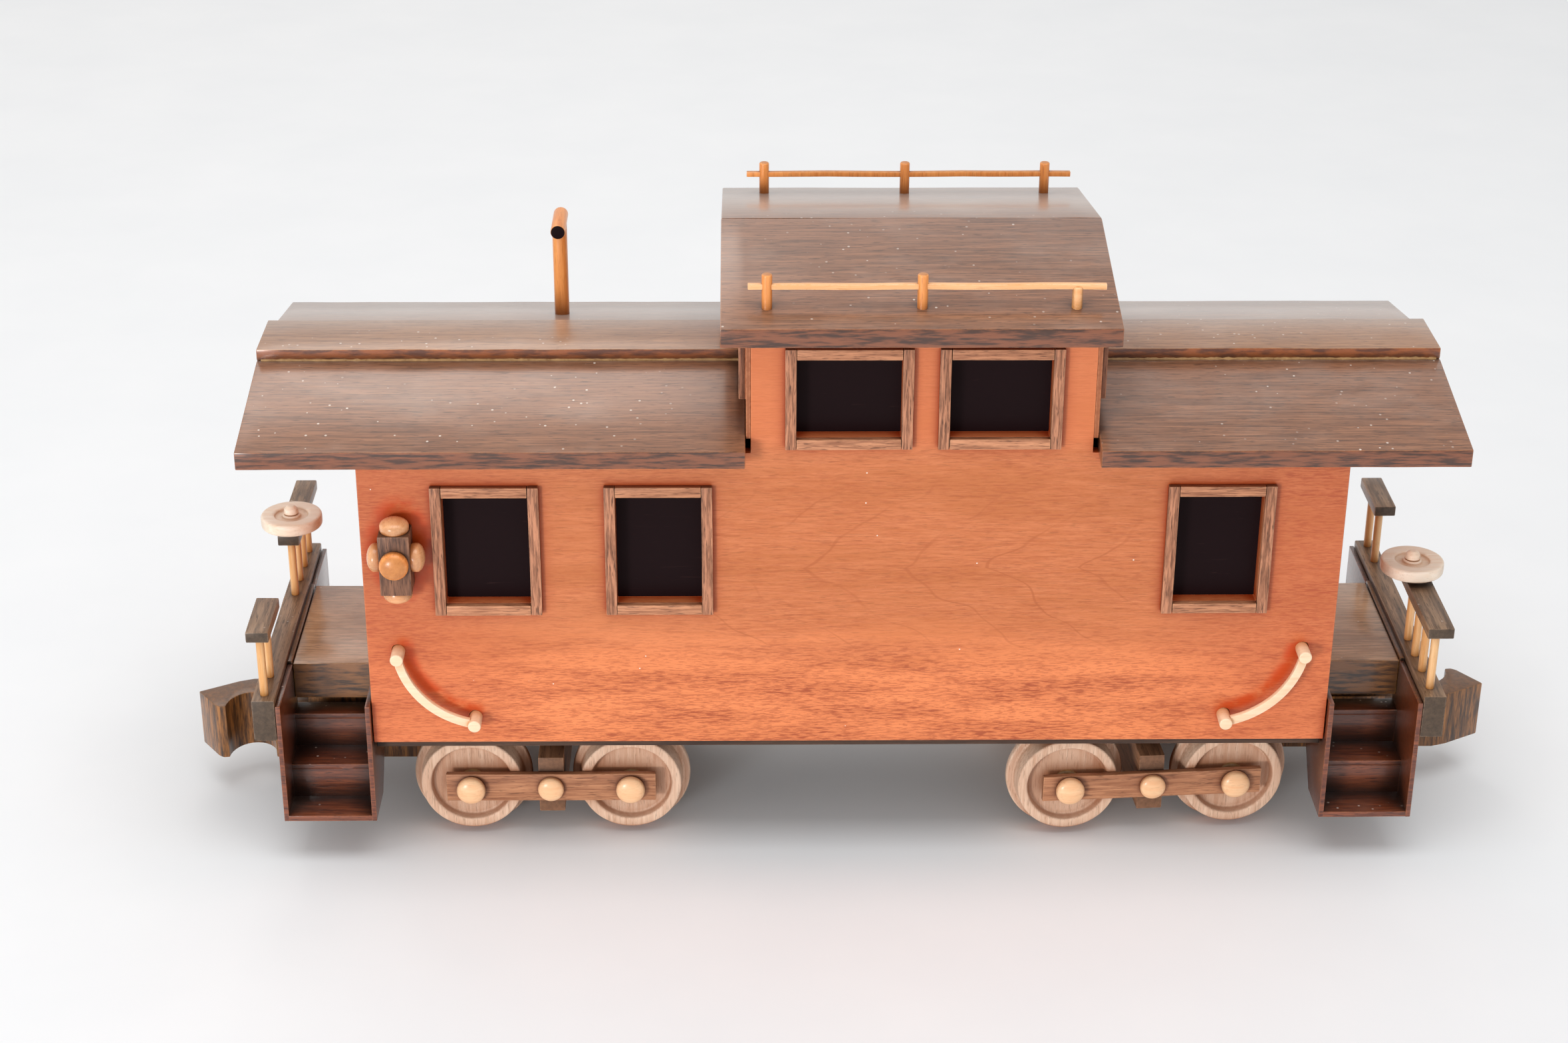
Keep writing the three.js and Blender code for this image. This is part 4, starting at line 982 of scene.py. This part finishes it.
def make_wheelsets(end, place, cap_seat):
    for position in ("outer", "inner"):
        node = f"wheelset_{end}_{position}"
        low, high = box(node)
        centre = (low + high) / 2
        local = place.copy()
        local.translation = centre
        body = f"wheels_{end}_{position}"
        for side, sign in SIDES.items():
            name = f"{end}_{position}_{side}"
            rim = local @ axis_frame((0, sign * WHEEL_FACE, 0), (0, -sign, 0))
            add_piece(f"wheel_{name}", lathe(wheel_profile(), 96), "beech", node, rim, body)
            bead = lathe(rounded(HUB_GLUE, 0.6), 40)
            waver(bead, 0.6, seed_of(node + side))
            add_piece(f"hub_glue_{name}", bead, "glue", node, rim, body)
            seat = local @ axis_frame((0, sign * cap_seat, 0), (0, sign, 0))
            add_piece(f"axle_cap_{name}", button(AXLE_CAP["radius"], AXLE_CAP["height"]), "cap", node, seat,
                      body)
        reach = cap_seat + 1
        axle = local @ axis_frame((0, -reach, 0), (0, 1, 0))
        add_piece(f"axle_{end}_{position}", dowel(AXLE_RADIUS, 2 * reach), "maple", node, axle, body)


def bored(bm, places, span, radius):
    """Cuts round holes through a mesh, along the Z of each place and between two heights on it."""
    pieces = []
    for label, source in (("blank", bm), ("drill", drills(places, span, radius))):
        bmesh.ops.recalc_face_normals(source, faces=source.faces)
        pieces.append(new_object(label, mesh_of(label, source)))
    blank, drill = pieces
    modify(blank, "BOOLEAN", operation="DIFFERENCE", solver="EXACT", object=drill)
    bpy.context.view_layer.update()
    result = bmesh.new()
    result.from_object(blank, bpy.context.evaluated_depsgraph_get())
    for piece in pieces:
        mesh = piece.data
        bpy.data.objects.remove(piece)
        bpy.data.meshes.remove(mesh)
    return result


def drills(places, span, radius):
    """Round cutters a little longer than a span, one along the Z of each place."""
    start, stop = span[0] - 1, span[1] + 1
    bm = bmesh.new()
    for place in places:
        cutter = lathe([(0, start), (radius, start), (radius, stop), (0, stop)])
        cutter.transform(place)
        mesh = mesh_of("cutter", cutter)
        bm.from_mesh(mesh)
        bpy.data.meshes.remove(mesh)
    return bm


def make_trucks():
    for end in ENDS:
        place, wheelbase = truck_frame(end)
        body = f"truck_{end}"
        half_long, half_tall = BAR_SIZES[end]["length"] / 2, BAR_SIZES[end]["height"] / 2
        back, front = BAR_FACES["back"], BAR_FACES["front"]
        for side, sign in SIDES.items():
            ys = sorted((sign * back, sign * front))
            shape = board((-half_long, ys[0], -half_tall), (half_long, ys[1], half_tall), 0.5, 0.2,
                          seed_of(end + side))
            axles = [axis_frame((along, 0, 0), (0, 1, 0)) for along in (-wheelbase / 2, wheelbase / 2)]
            shape = bored(shape, axles, ys, AXLE_RADIUS + BORE_PLAY)
            add_piece(f"bar_{end}_{side}", shape, "bar", f"side_bar_{end}_{side}", place, body)
            seat = place @ axis_frame((0, sign * (front + 0.1), 0), (0, sign, 0))
            cap = button(BOLSTER_CAP["radius"], BOLSTER_CAP["height"])
            add_piece(f"bolster_cap_{end}_{side}", cap, "cap", f"bolster_{end}", seat, body)
        ceiling = box(f"bolster_{end}")[1].z - place.translation.z
        bottom, top = ceiling - BOLSTER["height"], ceiling - BOLSTER["gap"]
        wide, long = BOLSTER["half_width"], BOLSTER["half_length"]
        beam = board((-wide, -long, bottom), (wide, long, top), 0.6, 0.2, 6.0)
        beam = bored(beam, [Matrix.Identity(4)], (bottom, top), KINGPIN_RADIUS + BORE_PLAY)
        add_piece(f"bolster_beam_{end}", beam, "bolster", f"bolster_{end}", place, body)
        make_wheelsets(end, place, front + CAP_GAP)


# ---- Studio, in metres and degrees, with the lens in millimetres ----

CAMERA = {"place": (-0.05103, -1.24590, 0.75020), "yaw_pitch_roll": (0.929, 25.953, 0.261), "lens": 64.3}
FLOOR_REACH = 9.0


def make_light(name, place, target, size, power, colour=(1.0, 1.0, 1.0)):
    data = bpy.data.lights.new(name, "AREA")
    data.shape = "RECTANGLE"
    data.size, data.size_y = size
    data.energy = power
    data.color = colour
    light = new_object(name, data)
    light.location = place
    light.rotation_euler = (Vector(target) - light.location).to_track_quat("-Z", "Y").to_euler()


def make_studio():
    floor_mesh = bpy.data.meshes.new("floor")
    corners = [(x * FLOOR_REACH, y * FLOOR_REACH, 0) for x, y in ((-1, -1), (1, -1), (1, 1), (-1, 1))]
    floor_mesh.from_pydata(corners, [], [(0, 1, 2, 3)])
    floor = new_object("floor", floor_mesh)
    floor_mesh.materials.append(paper())
    world = bpy.data.worlds.new("studio")
    bpy.context.scene.world = world
    world.use_nodes = True
    background = world.node_tree.nodes["Background"]
    background.inputs[0].default_value = (1.0, 0.99, 0.98, 1.0)
    background.inputs[1].default_value = 0.66
    make_light("key", (-1.35, -2.2, 0.32), (0.0, 0.0, 0.14), (0.5, 0.45), 27.0)
    make_light("top", (0.0, -0.5, 2.3), (0.0, 0.0, 0.2), (2.0, 1.4), 22.0)
    make_light("rear", (-0.7, 2.0, 2.1), (-0.1, 0.0, 0.2), (1.3, 1.0), 8.0, (1.0, 0.9, 0.82))


def paper():
    shader = Shader("floor_paper")
    mottle = shader.noise(shader.coordinates, (9.0, 9.0, 9.0), 3.0)
    colour = shader.mix(mottle, tone("EEF1F4"), tone("F6F8FA"))
    return shader.finish(colour, 0.85, mottle, 0.02)


def make_camera():
    """The view of the near side from slightly left of the middle, looking down at it."""
    yaw, pitch, roll = (radians(angle) for angle in CAMERA["yaw_pitch_roll"])
    forward = Vector((sin(yaw) * cos(pitch), cos(yaw) * cos(pitch), -sin(pitch)))
    level = Vector((cos(yaw), -sin(yaw), 0))
    upright = level.cross(forward)
    right = cos(roll) * level + sin(roll) * upright
    above = -sin(roll) * level + cos(roll) * upright
    data = bpy.data.cameras.new("camera")
    data.sensor_width = 36.0
    data.lens = CAMERA["lens"]
    camera = new_object("camera", data)
    turn = Matrix((right, above, -forward)).transposed().to_4x4()
    camera.matrix_world = Matrix.Translation(CAMERA["place"]) @ turn
    bpy.context.scene.camera = camera


make_body()
make_windows()
make_roofs()
make_grab_rails()
make_smokestack()
make_handles()
make_lamps()
make_beams()
for end_name in ENDS:
    make_railing(end_name, "long")
    make_railing(end_name, "short")
    make_brake(end_name)
make_steps()
make_couplers()
make_trucks()
make_studio()
make_camera()
bpy.context.scene.view_settings.view_transform = "Standard"
